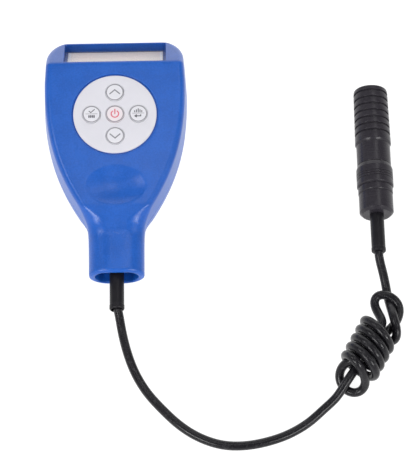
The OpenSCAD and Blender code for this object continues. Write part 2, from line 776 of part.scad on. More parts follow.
module probe_tail() {
    color("black") on_probe() rotate_extrude() difference() {
        polygon([
            [0, z_tail - 5.8], [spigot_d / 2, z_tail - 5.8], [spigot_d / 2, z_tail + 0.1],
            [barrel_d / 2, z_tail + 0.1], [barrel_d / 2, probe_l - 1.2],
            [barrel_d / 2 - 1.2, probe_l], [0, probe_l]
        ]);
        translate([0, z_tail - 7]) square([boot_flange_d / 2 + seat_gap, 9.5]);
        translate([0, z_tail]) square([boot_neck_d / 2 + seat_gap, tail_l + 1]);
    }
}

module probe_boot() {
    color("black") on_probe() rotate_extrude() difference() {
        union() {
            translate([0, z_tail + 0.9]) square([boot_flange_d / 2, 1.5]);
            translate([0, z_tail + 2.3]) square([boot_neck_d / 2, probe_l - z_tail - 2.2]);
            translate([0, probe_l + 0.05]) square([tail_boot_d / 2, tail_boot_l - 0.5]);
            translate([0, probe_l + tail_boot_l - 0.5]) square([tail_boot_d / 2 - 0.35, 0.5]);
        }
        translate([-1, z_tail]) square([cable_d / 2 + 1, probe_l + tail_boot_l - z_tail - 1]);
    }
}

// Sliding core: nose through the lip of the grip, shoulder behind it, hollow for the winding
module sensor_core() {
    color("gray") on_probe() rotate_extrude() difference() {
        union() {
            translate([0, 0.2 - core_out]) square([core_nose_d / 2, core_out + nose_lip + 0.1]);
            translate([0, nose_lip + 0.05]) square([core_d / 2, core_l - nose_lip]);
        }
        translate([-1, -3]) square([pole_d / 2 + seat_gap + 1, core_l + 6]);
        translate([0, nose_lip + 1.6]) square([winding_d / 2 + seat_gap, core_l]);
    }
}

module sensor_pole() {
    color("silver") on_probe() rotate_extrude() {
        translate([0, pole_d / 2 - core_out]) intersection() {
            circle(d = pole_d);
            translate([0, -pole_d]) square([pole_d, 2 * pole_d]);
        }
        translate([0, pole_d / 2 - core_out]) square([pole_d / 2, core_l - 2]);
    }
}

module sensor_winding() {
    color("peru") on_probe() translate([0, 0, nose_lip + 1.65]) difference() {
        cylinder(d = winding_d, h = 6);
        translate([0, 0, -1]) cylinder(d = pole_d + 2 * seat_gap, h = 8);
    }
}

module core_spring() {
    from = nose_lip + 0.05 + core_l - nose_lip;
    color("silver") on_probe() translate([0, 0, from])
        coil(core_d / 2 - 0.6, core_d / 2 - 0.6, spring_wire, z_barrel - 7.3 - from, 3, 14, 8);
}

front_shell();
rear_shell();
battery_door();
display_window();
display_panel();
display_carrier();
display_strip();
keypad_plate();
key_up();
key_down();
key_power();
key_left();
key_right();
key_switches();
main_board();
board_chips();
cable_header();
board_screws();
shell_screws();
batteries();
battery_springs();
battery_contacts();
body_boot();
cable_run();
cable_hank();
cable_tail();
probe_grip();
probe_barrel();
probe_collar();
probe_tail();
probe_boot();
sensor_core();
sensor_pole();
sensor_winding();
core_spring();
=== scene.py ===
"""Looks of a hand-held coating thickness gauge with a wired probe.

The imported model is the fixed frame. Housing, keypad, display, battery door, probe and cable are
made smooth around it and dressed with procedural finishes. Sizes are in millimetres unless a name
says otherwise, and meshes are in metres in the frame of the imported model.
"""

import logging
import math
from collections.abc import Callable, Iterable, Sequence
from dataclasses import dataclass, field
from enum import Enum
from functools import partial
from typing import TypeAlias

import bmesh
import bpy
import numpy as np
from mathutils import Matrix, Vector


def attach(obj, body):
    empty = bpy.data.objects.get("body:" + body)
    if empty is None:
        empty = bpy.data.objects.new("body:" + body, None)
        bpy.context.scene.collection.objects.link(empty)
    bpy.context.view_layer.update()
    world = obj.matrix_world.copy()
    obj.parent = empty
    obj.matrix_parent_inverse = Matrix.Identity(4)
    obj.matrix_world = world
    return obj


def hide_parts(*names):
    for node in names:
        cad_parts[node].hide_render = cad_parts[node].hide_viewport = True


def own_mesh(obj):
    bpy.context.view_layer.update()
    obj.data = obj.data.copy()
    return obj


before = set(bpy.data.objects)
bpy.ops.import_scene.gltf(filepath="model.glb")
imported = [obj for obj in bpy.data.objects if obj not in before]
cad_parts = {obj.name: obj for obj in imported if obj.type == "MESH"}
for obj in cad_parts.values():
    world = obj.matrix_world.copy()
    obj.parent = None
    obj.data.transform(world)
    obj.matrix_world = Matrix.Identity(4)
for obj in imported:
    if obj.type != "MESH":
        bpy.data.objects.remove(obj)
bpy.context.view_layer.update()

LOG = logging.getLogger("gauge")
MM = 0.001
TAU = 2 * math.pi
HERE = Matrix()

Mesh = bpy.types.Mesh
Material = bpy.types.Material
Point2 = tuple[float, float]
Point3 = tuple[float, float, float]
Outline = Sequence[Point2]
Stroke = tuple[Outline, float]
Term: TypeAlias = "Wire | float"


# Node graphs


class Wire:
    """An output socket that takes part in Python expressions."""

    def __init__(self, graph: "Graph", socket: bpy.types.NodeSocket) -> None:
        """Keep the socket and the graph that new nodes go into."""
        self.graph = graph
        self.socket = socket

    def maths(self, operation: str, *rest: Term, clamped: bool = False) -> "Wire":
        """Add one Math node with this wire as its first value."""
        return self.graph.maths(operation, self, *rest, clamped=clamped)

    def __add__(self, other: Term) -> "Wire":
        """Add a value."""
        return self.maths("ADD", other)

    __radd__ = __add__

    def __mul__(self, other: Term) -> "Wire":
        """Multiply by a value."""
        return self.maths("MULTIPLY", other)

    __rmul__ = __mul__

    def __sub__(self, other: Term) -> "Wire":
        """Take a value away."""
        return self.maths("SUBTRACT", other)

    def __rsub__(self, other: Term) -> "Wire":
        """Take this away from a value."""
        return self.graph.maths("SUBTRACT", other, self)

    def __truediv__(self, other: Term) -> "Wire":
        """Divide by a value."""
        return self.maths("DIVIDE", other)

    def __pow__(self, other: Term) -> "Wire":
        """Raise to a power."""
        return self.maths("POWER", other)

    def __abs__(self) -> "Wire":
        """Drop the sign."""
        return self.maths("ABSOLUTE")

    def least(self, other: Term) -> "Wire":
        """Return the smaller of two values."""
        return self.maths("MINIMUM", other)

    def most(self, other: Term) -> "Wire":
        """Return the larger of two values."""
        return self.maths("MAXIMUM", other)

    def root(self) -> "Wire":
        """Return the square root, of 0 where the value is negative."""
        return self.most(0.0).maths("SQRT")

    def sine(self) -> "Wire":
        """Return the sine of an angle in radians."""
        return self.maths("SINE")

    def cosine(self) -> "Wire":
        """Return the cosine of an angle in radians."""
        return self.maths("COSINE")

    def unit(self) -> "Wire":
        """Keep the value between 0 and 1."""
        return self.maths("ADD", 0.0, clamped=True)

    def eased(self) -> "Wire":
        """Ease a value between 0 and 1 in and out."""
        return self * self * (3 - self * 2)


class Graph:
    """A node tree that is filled through expressions and one method for other nodes."""

    def __init__(self, tree: bpy.types.NodeTree) -> None:
        """Start from an empty tree."""
        self.tree = tree
        tree.nodes.clear()

    def node(
        self, kind: str, sockets: dict | None = None, **settings: str | bool
    ) -> bpy.types.Node:
        """Add a node, set it up, then give its sockets values or links.

        Args:
            kind: The node's type.
            sockets: Values or wires by socket name or number.
            settings: Attributes of the node.

        Returns:
            The node.
        """
        made = self.tree.nodes.new(kind)
        for name, value in settings.items():
            setattr(made, name, value)
        for key, value in (sockets or {}).items():
            if isinstance(value, Wire):
                self.tree.links.new(value.socket, made.inputs[key])
            else:
                made.inputs[key].default_value = value
        return made

    def add(
        self, kind: str, sockets: dict | None = None, out: int | str = 0, **settings: str | bool
    ) -> Wire:
        """Add a node as node() does and return one of its outputs as a wire."""
        return Wire(self, self.node(kind, sockets, **settings).outputs[out])

    def maths(self, operation: str, *values: Term, clamped: bool = False) -> Wire:
        """Add one Math node and return its result."""
        sockets = dict(enumerate(values))
        return self.add("ShaderNodeMath", sockets, operation=operation, use_clamp=clamped)

    def parts(self, vector: Wire) -> tuple[Wire, Wire, Wire]:
        """Split a vector into its three numbers."""
        made = self.node("ShaderNodeSeparateXYZ", {0: vector})
        return tuple(Wire(self, s) for s in made.outputs)

    def vector(self, x: Term, y: Term, z: Term) -> Wire:
        """Join three numbers into a vector."""
        return self.add("ShaderNodeCombineXYZ", {0: x, 1: y, 2: z})

    def mix(self, share: Wire, first: Wire | Point3, second: Point3) -> Wire:
        """Blend two colours."""
        start = first if isinstance(first, Wire) else (*first, 1.0)
        sockets = {0: share, 6: start, 7: (*second, 1.0)}
        return self.add("ShaderNodeMix", sockets, 2, data_type="RGBA")


class ShapeGraph(Graph):
    """A Geometry Nodes tree with named inputs, which makes plain meshes."""

    KINDS = {int: "NodeSocketInt", float: "NodeSocketFloat", Material: "NodeSocketMaterial"}

    def __init__(self, name: str, inputs: dict[str, float | int | Material]) -> None:
        """Args:
            name: Name of the tree.
            inputs: Value of each input by its label.
        """
        super().__init__(bpy.data.node_groups.new(name, "GeometryNodeTree"))
        face = self.tree.interface
        for way in ("OUTPUT", "INPUT"):
            face.new_socket("Geometry", in_out=way, socket_type="NodeSocketGeometry")
        self.values: dict[str, float | int | Material] = {}
        self.holders: list[bpy.types.Object] = []
        for label, value in inputs.items():
            kind = next(k for t, k in self.KINDS.items() if isinstance(value, t))
            item = face.new_socket(label, in_out="INPUT", socket_type=kind)
            self.values[item.identifier] = value
        self.entry = self.tree.nodes.new("NodeGroupInput")
        self.exit = self.tree.nodes.new("NodeGroupOutput")

    def __getitem__(self, label: str) -> Wire:
        """Return the wire of a named input."""
        return Wire(self, self.entry.outputs[label])

    def rod(self, curve: Wire, radius: Wire, sides: Wire | int) -> Wire:
        """Sweep a round section along a curve and close its ends."""
        ring = self.add("GeometryNodeCurvePrimitiveCircle", {"Resolution": sides, "Radius": radius})
        sockets = {"Curve": curve, "Profile Curve": ring, "Fill Caps": True}
        return self.add("GeometryNodeCurveToMesh", sockets)

    def row(self, start: Wire, offset: Wire) -> Wire:
        """Return a row of points, as many as the input Count says."""
        sockets = {"Count": self["Count"], "Start Location": start, "Offset": offset}
        return self.add("GeometryNodeMeshLine", sockets, mode="OFFSET")

    def shape(self, mesh: Mesh) -> Wire:
        """Bring in a mesh to repeat; its holder goes once the tree has run."""
        self.holders.append(linked("repeated_shape", mesh))
        return self.add("GeometryNodeObjectInfo", {"Object": self.holders[-1]}, "Geometry")

    def repeat(self, points: Wire, shape: Wire, scale: Wire | Point3 = (1.0, 1.0, 1.0)) -> None:
        """End the tree in one shape repeated on points."""
        sockets = {"Points": points, "Instance": shape, "Scale": scale}
        self.close(self.add("GeometryNodeInstanceOnPoints", sockets))

    def close(self, geometry: Wire) -> None:
        """End the tree in real geometry with the input Finish as its material."""
        real = self.add("GeometryNodeRealizeInstances", {"Geometry": geometry})
        sockets = {"Geometry": real, "Material": self["Finish"]}
        dressed = self.add("GeometryNodeSetMaterial", sockets)
        self.tree.links.new(dressed.socket, self.exit.inputs[0])

    def mesh(self, name: str, base: bpy.types.ID | None = None) -> Mesh:
        """Run the tree and return its result as a plain mesh.

        Args:
            name: Name of the mesh.
            base: Curve or mesh data that the tree starts from.

        Returns:
            The mesh.
        """
        holder = linked(f"{name}_maker", base or bpy.data.meshes.new(f"{name}_base"))
        step = holder.modifiers.new("shape", "NODES")
        step.node_group = self.tree
        for identifier, value in self.values.items():
            step[identifier] = value
        made = plain_mesh(holder, name)
        for used in (holder, *self.holders):
            bpy.data.objects.remove(used)
        self.holders.clear()
        return made


# Meshes


def linked(name: str, data: bpy.types.ID) -> bpy.types.Object:
    """Make an object and put it into the scene."""
    made = bpy.data.objects.new(name, data)
    bpy.context.scene.collection.objects.link(made)
    return made


def plain_mesh(piece: bpy.types.Object, name: str) -> Mesh:
    """Return the evaluated shape of an object as a mesh without modifiers."""
    graph = bpy.context.evaluated_depsgraph_get()
    made = bpy.data.meshes.new_from_object(piece.evaluated_get(graph), depsgraph=graph)
    made.name = name
    return made


def tidy_mesh(mesh: Mesh, fill: bool = False) -> Mesh:
    """Merge doubles, close an open rim if asked, and point the faces outwards."""
    work = bmesh.new()
    work.from_mesh(mesh)
    bmesh.ops.remove_doubles(work, verts=work.verts, dist=1e-7)
    bmesh.ops.dissolve_degenerate(work, edges=work.edges, dist=1e-8)
    if fill:
        rim = [e for e in work.edges if e.is_boundary]
        bmesh.ops.edgeloop_fill(work, edges=rim)
    bmesh.ops.recalc_face_normals(work, faces=work.faces)
    work.to_mesh(mesh)
    work.free()
    return mesh


def joined(meshes: Iterable[Mesh]) -> Mesh:
    """Put several meshes into one and remove them."""
    work = bmesh.new()
    for mesh in meshes:
        work.from_mesh(mesh)
        bpy.data.meshes.remove(mesh)
    made = bpy.data.meshes.new("shape")
    work.to_mesh(made)
    work.free()
    return made


def loft(rings: Sequence[Sequence[Point3]], place: Matrix, capped: bool = True) -> Mesh:
    """Make a closed mesh through rings of points in millimetres.

    Args:
        rings: Points of each ring in a local frame; all rings have as many.
        place: The local frame in the housing's frame, in millimetres.
        capped: Whether the first and the last ring are filled.

    Returns:
        A mesh in metres, with doubles merged and faces pointing outwards.
    """
    n = len(rings[0])
    faces = [
        (i * n + j, i * n + (j + 1) % n, (i + 1) * n + (j + 1) % n, (i + 1) * n + j)
        for i in range(len(rings) - 1)
        for j in range(n)
    ]
    if capped:
        last = (len(rings) - 1) * n
        faces += [tuple(range(n)), tuple(range(last, last + n))]
    made = bpy.data.meshes.new("shape")
    made.from_pydata([place @ Vector(p) * MM for ring in rings for p in ring], [], faces)
    return tidy_mesh(made)


def stack(levels: Sequence[tuple[float, Outline]], place: Matrix = HERE) -> Mesh:
    """Loft a closed solid through flat outlines at rising heights."""
    return loft([[(x, y, z) for x, y in outline] for z, outline in levels], place)


def prism(outline: Outline, low: float, high: float, place: Matrix = HERE) -> Mesh:
    """Return a straight solid on an outline."""
    return stack([(low, outline), (high, outline)], place)


def block(low: Point3, high: Point3) -> Mesh:
    """Return a plain block between two corners."""
    (a, b, c), (x, y, z) = low, high
    return prism([(a, b), (x, b), (x, y), (a, y)], c, z)


def lathe(profile: Outline, place: Matrix = HERE, segments: int = 96) -> Mesh:
    """Turn a profile of radius and height about the local Z axis.

    Args:
        profile: Points from one end to the other; a closed ring ends where it starts.
        place: Frame of the solid.
        segments: Steps round the axis.

    Returns:
        The turned solid.
    """
    angles = [TAU * k / segments for k in range(segments)]
    turns = [(math.cos(a), math.sin(a)) for a in angles]
    return loft([[(r * c, r * s, z) for c, s in turns] for r, z in profile], place, capped=False)


def pin(radius: float, low: float, high: float, place: Matrix, segments: int = 48) -> Mesh:
    """Return a plain round rod."""
    return lathe([(0, low), (radius, low), (radius, high), (0, high)], place, segments)


def quarter(steps: int, first: int = 0) -> list[float]:
    """Return the angles of a quarter turn in even steps."""
    return [TAU / 4 * k / steps for k in range(first, steps + 1)]


def filleted(corners: Sequence[Point3], steps: int = 5) -> list[Point2]:
    """Round the corners of an open profile.

    Args:
        corners: Radius, height and fillet of each corner.
        steps: Steps along each fillet.

    Returns:
        The points of the rounded profile.
    """
    out: list[Point2] = []
    for i, (x, y, fillet) in enumerate(corners):
        if fillet <= 0 or i in (0, len(corners) - 1):
            out.append((x, y))
            continue
        here = Vector((x, y))
        ahead = Vector(corners[i + 1][:2]) - here
        behind = Vector(corners[i - 1][:2]) - here
        half = ahead.angle(behind) / 2
        reach = min(fillet / math.tan(half), 0.49 * min(ahead.length, behind.length))
        start, end = here + behind.normalized() * reach, here + ahead.normalized() * reach
        for k in range(steps + 1):
            t = k / steps
            out.append(tuple(start * (1 - t) ** 2 + here * 2 * t * (1 - t) + end * t * t))
    return out


def rounded_outline(
    width: float, depth: float, radius: float, grow: float = 0.0, steps: int = 8
) -> list[Point2]:
    """Return the points of a rectangle with round corners.

    Args:
        width: Size along X.
        depth: Size along Y.
        radius: Corner radius.
        grow: Offset of the whole outline.
        steps: Steps in each corner.

    Returns:
        Points round the outline.
    """
    r = radius + grow
    x, y = width / 2 - radius, depth / 2 - radius
    return [
        (cx * x + r * math.cos(a), cy * y + r * math.sin(a))
        for n, (cx, cy) in enumerate(((1, 1), (-1, 1), (-1, -1), (1, -1)))
        for a in (TAU / 4 * (n + k / steps) for k in range(steps + 1))
    ]


def flared(
    outline: Callable[[float], Outline], low: float, top: float, lip: float, place: Matrix
) -> Mesh:
    """Return a cutter whose mouth opens in a quarter round.

    Args:
        outline: Outline for a given growth.
        low: Depth of its floor.
        top: Height to which it reaches past the surface at 0.
        lip: Radius of the round at the mouth.
        place: Frame of the cutter.

    Returns:
        The cutter.
    """
    mouth = [(-lip + lip * math.sin(a), outline(lip * (1 - math.cos(a)))) for a in quarter(5)]
    return stack([(low, outline(0.0)), *mouth, (top, outline(lip))], place)


def bore(radius: float, low: float, lip: Point2, face: float, top: float, steps: int) -> Outline:
    """Return the profile of a round cutter whose mouth opens in a quarter round.

    Args:
        radius: Radius below the mouth.
        low: Depth of its floor.
        lip: Width and depth of the round at the mouth.
        face: Height of the surface.
        top: Height to which it reaches past the surface.
        steps: Steps along the round.

    Returns:
        The profile for lathe().
    """
    out, deep = lip
    mouth = [
        (radius + out * (1 - math.cos(a)), face - deep + deep * math.sin(a))
        for a in quarter(steps, 1)
    ]
    return [(0, low), (radius, low), (radius, face - deep), *mouth, (radius + out, top), (0, top)]


def tape(line: Outline, width: float, closed: bool) -> list[tuple[Vector, Vector]]:
    """Return the edges of a flat stroke with round ends.

    Args:
        line: Middle of the stroke.
        width: Width of the stroke.
        closed: Whether the line is a ring.

    Returns:
        Left and right edge point at each step.
    """
    pts = [Vector(p) for p in line]
    half = [width / 2] * len(pts)
    if not closed:
        least, caps = 0.004, [math.sin(a) for a in quarter(5, 1)]
        head, tail = (pts[0] - pts[1]).normalized(), (pts[-1] - pts[-2]).normalized()
        ends = [width / 2 * math.sqrt(max(0.0, 1 - c * c)) + least for c in caps]
        before = [pts[0] + head * width / 2 * c for c in caps[::-1]]
        pts = before + pts + [pts[-1] + tail * width / 2 * c for c in caps]
        half = ends[::-1] + half + ends
    edges = []
    for i, p in enumerate(pts):
        side_in = p - pts[i - 1] if closed or i else Vector((0, 0))
        side_out = pts[(i + 1) % len(pts)] - p if closed or i + 1 < len(pts) else side_in
        side_in = side_in if side_in.length else side_out
        turn = side_in.normalized() + side_out.normalized()
        across = Vector((-turn.y, turn.x)).normalized()
        stretch = 1 / max(0.5, across.dot(Vector((-side_out.y, side_out.x)).normalized()))
        edges.append((p + across * half[i] * stretch, p - across * half[i] * stretch))
    return edges


def printed(
    strokes: Iterable[Stroke], low: float, high: float, place: Matrix, closed: bool = False
) -> Mesh:
    """Make thin raised ink from flat strokes.

    Args:
        strokes: Middle line and width of each stroke.
        low: Height of the underside.
        high: Height of the face.
        place: Frame in which the strokes lie.
        closed: Whether the strokes are rings.

    Returns:
        One mesh of all the strokes.
    """
    meshes = []
    for line, width in strokes:
        rings = [
            [(*left, low), (*right, low), (*right, high), (*left, high)]
            for left, right in tape(line, width, closed)
        ]
        meshes.append(loft([*rings, rings[0]] if closed else rings, place, not closed))
    return joined(meshes)


class Cut(Enum):
    """How one solid changes another."""

    AWAY = "DIFFERENCE"
    JOIN = "UNION"


Step = tuple[Cut, Mesh]


def worked(body: Mesh, steps: Iterable[Step]) -> Mesh:
    """Cut and join solids one after another.

    Args:
        body: Solid to start from.
        steps: What is done, and with which solid.

    Returns:
        The finished solid.
    """
    holder = linked("body_maker", body)
    for how, tool in steps:
        helper = linked("tool", tool)
        step = holder.modifiers.new("step", "BOOLEAN")
        step.operation = how.value
        step.solver = "MANIFOLD"
        step.object = helper
        result = plain_mesh(holder, body.name)
        if len(result.polygons) < 4:
            step.solver = "EXACT"
            result = plain_mesh(holder, body.name)
        holder.modifiers.clear()
        holder.data = result
        bpy.data.objects.remove(helper)
    made = holder.data
    bpy.data.objects.remove(holder)
    return made


def moved(x: float, y: float, z: float) -> Matrix:
    """Return a shift in millimetres as a matrix."""
    return Matrix.Translation((x, y, z))


def turned(degrees: float, axis: str) -> Matrix:
    """Return a turn about X, Y or Z as a matrix."""
    return Matrix.Rotation(math.radians(degrees), 4, axis)


def in_metres(place: Matrix) -> Matrix:
    """Return a frame given in millimetres as a frame in metres."""
    return Matrix.Translation(place.translation * MM) @ place.to_3x3().to_4x4()


# Finishes


class Pattern(Enum):
    """What the fine relief of a finish follows: the value stretches X, Y and Z."""

    GRAIN = (1.0, 1.0, 1.0)
    TURNED = (0.02, 1.0, 0.02)
    BRUSHED = (1.0, 0.02, 0.02)


@dataclass(frozen=True)
class Finish:
    """A procedural finish: clouded colour, uneven gloss, fine relief and the record's slot."""

    name: str
    colour: Point3
    cloud: Point3
    roughness: float
    rough_swing: float = 0.06
    slot: str = ""
    cloud_mm: float = 9.0
    cloud_low: float = 0.3
    cloud_gain: float = 2.5
    grain_mm: float = 0.35
    relief: float = 0.12
    relief_mm: float = 0.03
    metallic: float = 0.0
    specular: float = 0.5
    alpha: float = 1.0
    speck: float = 0.0
    speck_colour: Point3 = (0.35, 0.35, 0.37)
    speck_scale: float = 2.6
    speck_low: float = 0.2
    speck_gain: float = 4.0
    mottle: float = 0.0
    glow: float = 0.0
    pattern: Pattern = Pattern.GRAIN
    fine_scale: float = 0.31
    fine_share: float = 0.3

    def _noise(self, g: Graph, place: Wire, size_mm: float, detail: float) -> Wire:
        """Return noise whose blotches are about size_mm across."""
        sockets = {"Vector": place, "Scale": 1 / (size_mm * MM), "Detail": detail}
        return g.add("ShaderNodeTexNoise", sockets)

    def build(self) -> Material:
        """Make the material."""
        material = bpy.data.materials.new(self.name)
        material.use_nodes = True
        g = Graph(material.node_tree)
        place = lie = g.add("ShaderNodeTexCoord", None, "Object")
        if self.pattern is not Pattern.GRAIN:
            lie = g.vector(*(p * s for p, s in zip(g.parts(place), self.pattern.value)))
        clouds = self._noise(g, place, self.cloud_mm, 3.0)
        grain = self._noise(g, lie, self.grain_mm, 2.0)
        fine = self._noise(g, lie, self.grain_mm * self.fine_scale, 1.0)
        blend = clouds + (grain - 0.5) * self.mottle - self.cloud_low
        tint = g.mix((blend * self.cloud_gain).unit(), self.colour, self.cloud)
        if self.speck:
            spots = self._noise(g, place, self.grain_mm * self.speck_scale, 1.0) - self.speck_low
            spots = (1 - spots * self.speck_gain).unit()
            tint = g.mix(spots * self.speck, tint, self.speck_colour)
        swing = self.rough_swing
        rough = self.roughness + (clouds - 0.5) * swing + (grain - 0.5) * swing
        bump = g.add("ShaderNodeBump", {
            "Strength": self.relief, "Distance": self.relief_mm * MM,
            "Height": grain * (1 - self.fine_share) + fine * self.fine_share,
        })
        shader = g.add("ShaderNodeBsdfPrincipled", {
            "Base Color": tint, "Roughness": rough.unit(), "Metallic": self.metallic,
            "Specular IOR Level": self.specular, "Alpha": self.alpha, "Normal": bump,
            "Emission Color": (1.0, 1.0, 1.0, 1.0), "Emission Strength": self.glow,
        })
        g.node("ShaderNodeOutputMaterial", {"Surface": shader})
        return material


moulded = partial(
    Finish, slot="shell_blue", grain_mm=0.8, relief=1.0, relief_mm=0.08, mottle=1.2, specular=0.45)
satin = partial(Finish, slot="keypad_white", grain_mm=0.2, relief=0.05)
ink = partial(Finish, slot="keypad_white", grain_mm=0.1, relief=0.05)
bezel = partial(Finish, slot="display", grain_mm=0.2, relief=0.03)
metal = partial(Finish, slot="steel", metallic=1.0)
inner = partial(Finish, grain_mm=0.3)

SHELL_BLUE = moulded("shell_blue", (0.007, 0.090, 0.43), (0.011, 0.108, 0.50), 0.30)
DOOR_BLUE = moulded("door_blue", (0.007, 0.087, 0.42), (0.011, 0.104, 0.485), 0.32)
PAD_WHITE = satin("pad_white", (0.665, 0.66, 0.715), (0.69, 0.685, 0.74), 0.42)
KEY_WHITE = satin("key_white", (0.71, 0.705, 0.755), (0.735, 0.73, 0.775), 0.38)
KEY_ROSE = satin("key_rose", (0.76, 0.68, 0.72), (0.78, 0.71, 0.75), 0.38)
INK_GREY = ink("ink_grey", (0.22, 0.22, 0.25), (0.26, 0.26, 0.29), 0.5)
INK_DARK = ink("ink_dark", (0.10, 0.10, 0.12), (0.13, 0.13, 0.15), 0.5)
INK_RED = ink("ink_red", (0.66, 0.13, 0.18), (0.70, 0.16, 0.21), 0.45)
CLEAR = Finish(
    "window_clear", (0.92, 0.94, 0.96), (0.94, 0.95, 0.97), 0.08, 0.02, "window", relief=0.01,
    alpha=0.10)
CRYSTAL = Finish(
    "crystal_panel", (0.86, 0.735, 0.70), (0.80, 0.735, 0.70), 0.3, slot="display", cloud_mm=12,
    grain_mm=0.25, relief=0.02)
BEZEL_WHITE = bezel("bezel_white", (0.80, 0.80, 0.84), (0.84, 0.84, 0.87), 0.4)
# Dark navy used as painted shadow: the shade line between the display panel and the pocket's far
# wall.
SHADOW_BAND_PAINT = bezel("bezel_dark", (0.035, 0.05, 0.12), (0.04, 0.06, 0.14), 0.5)
PROBE_BLACK = Finish(
    "probe_black", (0.025, 0.0225, 0.029), (0.030, 0.027, 0.034), 0.27, 0.08, "probe_black",
    grain_mm=0.12, relief=0.10, relief_mm=0.01, specular=0.26, pattern=Pattern.TURNED)
CABLE_BLACK = Finish(
    "cable_black", (0.006, 0.0056, 0.0078), (0.010, 0.0094, 0.0122), 0.27, 0.10, "cable_black",
    cloud_mm=5, grain_mm=0.5, specular=0.30, speck=0.07)
BOOT_BLACK = Finish(
    "boot_black", (0.0075, 0.007, 0.0095), (0.0105, 0.0098, 0.0128), 0.40, 0.08, "cable_black",
    cloud_mm=4, grain_mm=0.4, specular=0.22)
STEEL = metal(
    "zinc_steel", (0.58, 0.58, 0.60), (0.64, 0.64, 0.65), 0.28, grain_mm=0.15, relief=0.08,
    pattern=Pattern.BRUSHED)
HARD_CHROME = metal(
    "hard_chrome", (0.70, 0.70, 0.72), (0.74, 0.74, 0.75), 0.14, 0.03, relief=0.02)
BOARD_GREEN = Finish(
    "board_green", (0.015, 0.14, 0.05), (0.02, 0.22, 0.08), 0.3, cloud_mm=2.2, grain_mm=0.5)
INNER_BLACK = inner("inner_black", (0.02, 0.02, 0.022), (0.03, 0.03, 0.032), 0.5)
SILICONE = inner("silicone", (0.55, 0.30, 0.34), (0.60, 0.34, 0.38), 0.55)
IVORY = inner("header_ivory", (0.70, 0.64, 0.50), (0.74, 0.68, 0.54), 0.45)
CELL_WRAP = Finish(
    "cell_wrap", (0.02, 0.022, 0.03), (0.03, 0.032, 0.045), 0.25, slot="cell_wrap", cloud_mm=6,
    grain_mm=0.6, relief=0.05)
COPPER = Finish(
    "winding_copper", (0.50, 0.18, 0.07), (0.58, 0.23, 0.09), 0.32, grain_mm=0.2, metallic=1.0,
    pattern=Pattern.TURNED)
PAPER_WHITE = Finish(
    "floor_white", (0.25, 0.25, 0.25), (0.26, 0.26, 0.26), 0.8, cloud_mm=400, grain_mm=2.0,
    relief=0.01, glow=0.92)


class Palette:
    """Makes each finish once."""

    def __init__(self) -> None:
        """Start with nothing made."""
        self._made: dict[str, Material] = {}

    def __call__(self, finish: Finish) -> Material:
        """Return the material of a finish."""
        if finish.name not in self._made:
            self._made[finish.name] = finish.build()
        return self._made[finish.name]


PAINT = Palette()


def piece_of(
    name: str, mesh: Mesh, finish: Finish, replaces: Sequence[str] = (), body: str = "gauge",
    sharp: float = 32.0,
) -> bpy.types.Object:
    """Turn a mesh into a named piece that rides on a body.

    Args:
        name: Name of the piece.
        mesh: Its mesh.
        finish: Its finish, which knows the material slot.
        replaces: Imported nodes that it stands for.
        body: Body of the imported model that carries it.
        sharp: Angle in degrees from which an edge stays sharp.

    Returns:
        The piece.
    """
    mesh.name = name
    mesh.materials.clear()
    mesh.materials.append(PAINT(finish))
    mesh.shade_smooth()
    mesh.set_sharp_from_angle(angle=math.radians(sharp))
    made = linked(name, mesh)
    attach(made, body)
    if replaces:
        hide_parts(*replaces)
    LOG.info("%s: %d faces on %s", name, len(mesh.polygons), body)
    return made


def wound(name: str, radii: Point2, height: float, wire: float, place: Matrix) -> Mesh:
    """Wind a coil spring of three turns along the Z axis of a frame.

    Args:
        name: Name of its tree.
        radii: Radius of the wire's middle at the foot and at the top.
        height: Height between the wire's ends.
        wire: Radius of the wire.
        place: Frame of the spring's foot.

    Returns:
        The spring.
    """
    g = ShapeGraph(name, {
        "Turns": 3.0, "Wide": radii[0] * MM, "Narrow": radii[1] * MM, "Height": height * MM,
        "Wire": wire * MM, "Finish": PAINT(STEEL),
    })
    wind = g.add("GeometryNodeCurveSpiral", {
        "Resolution": 40, "Rotations": g["Turns"], "Start Radius": g["Wide"],
        "End Radius": g["Narrow"], "Height": g["Height"],
    })
    g.close(g.rod(wind, g["Wire"], 10))
    coil = g.mesh("coil")
    coil.transform(in_metres(place))
    return tidy_mesh(coil)


# Housing


class Side(Enum):
    """The two shells; the value is the way they open from the parting plane."""

    FRONT = 1
    BACK = -1


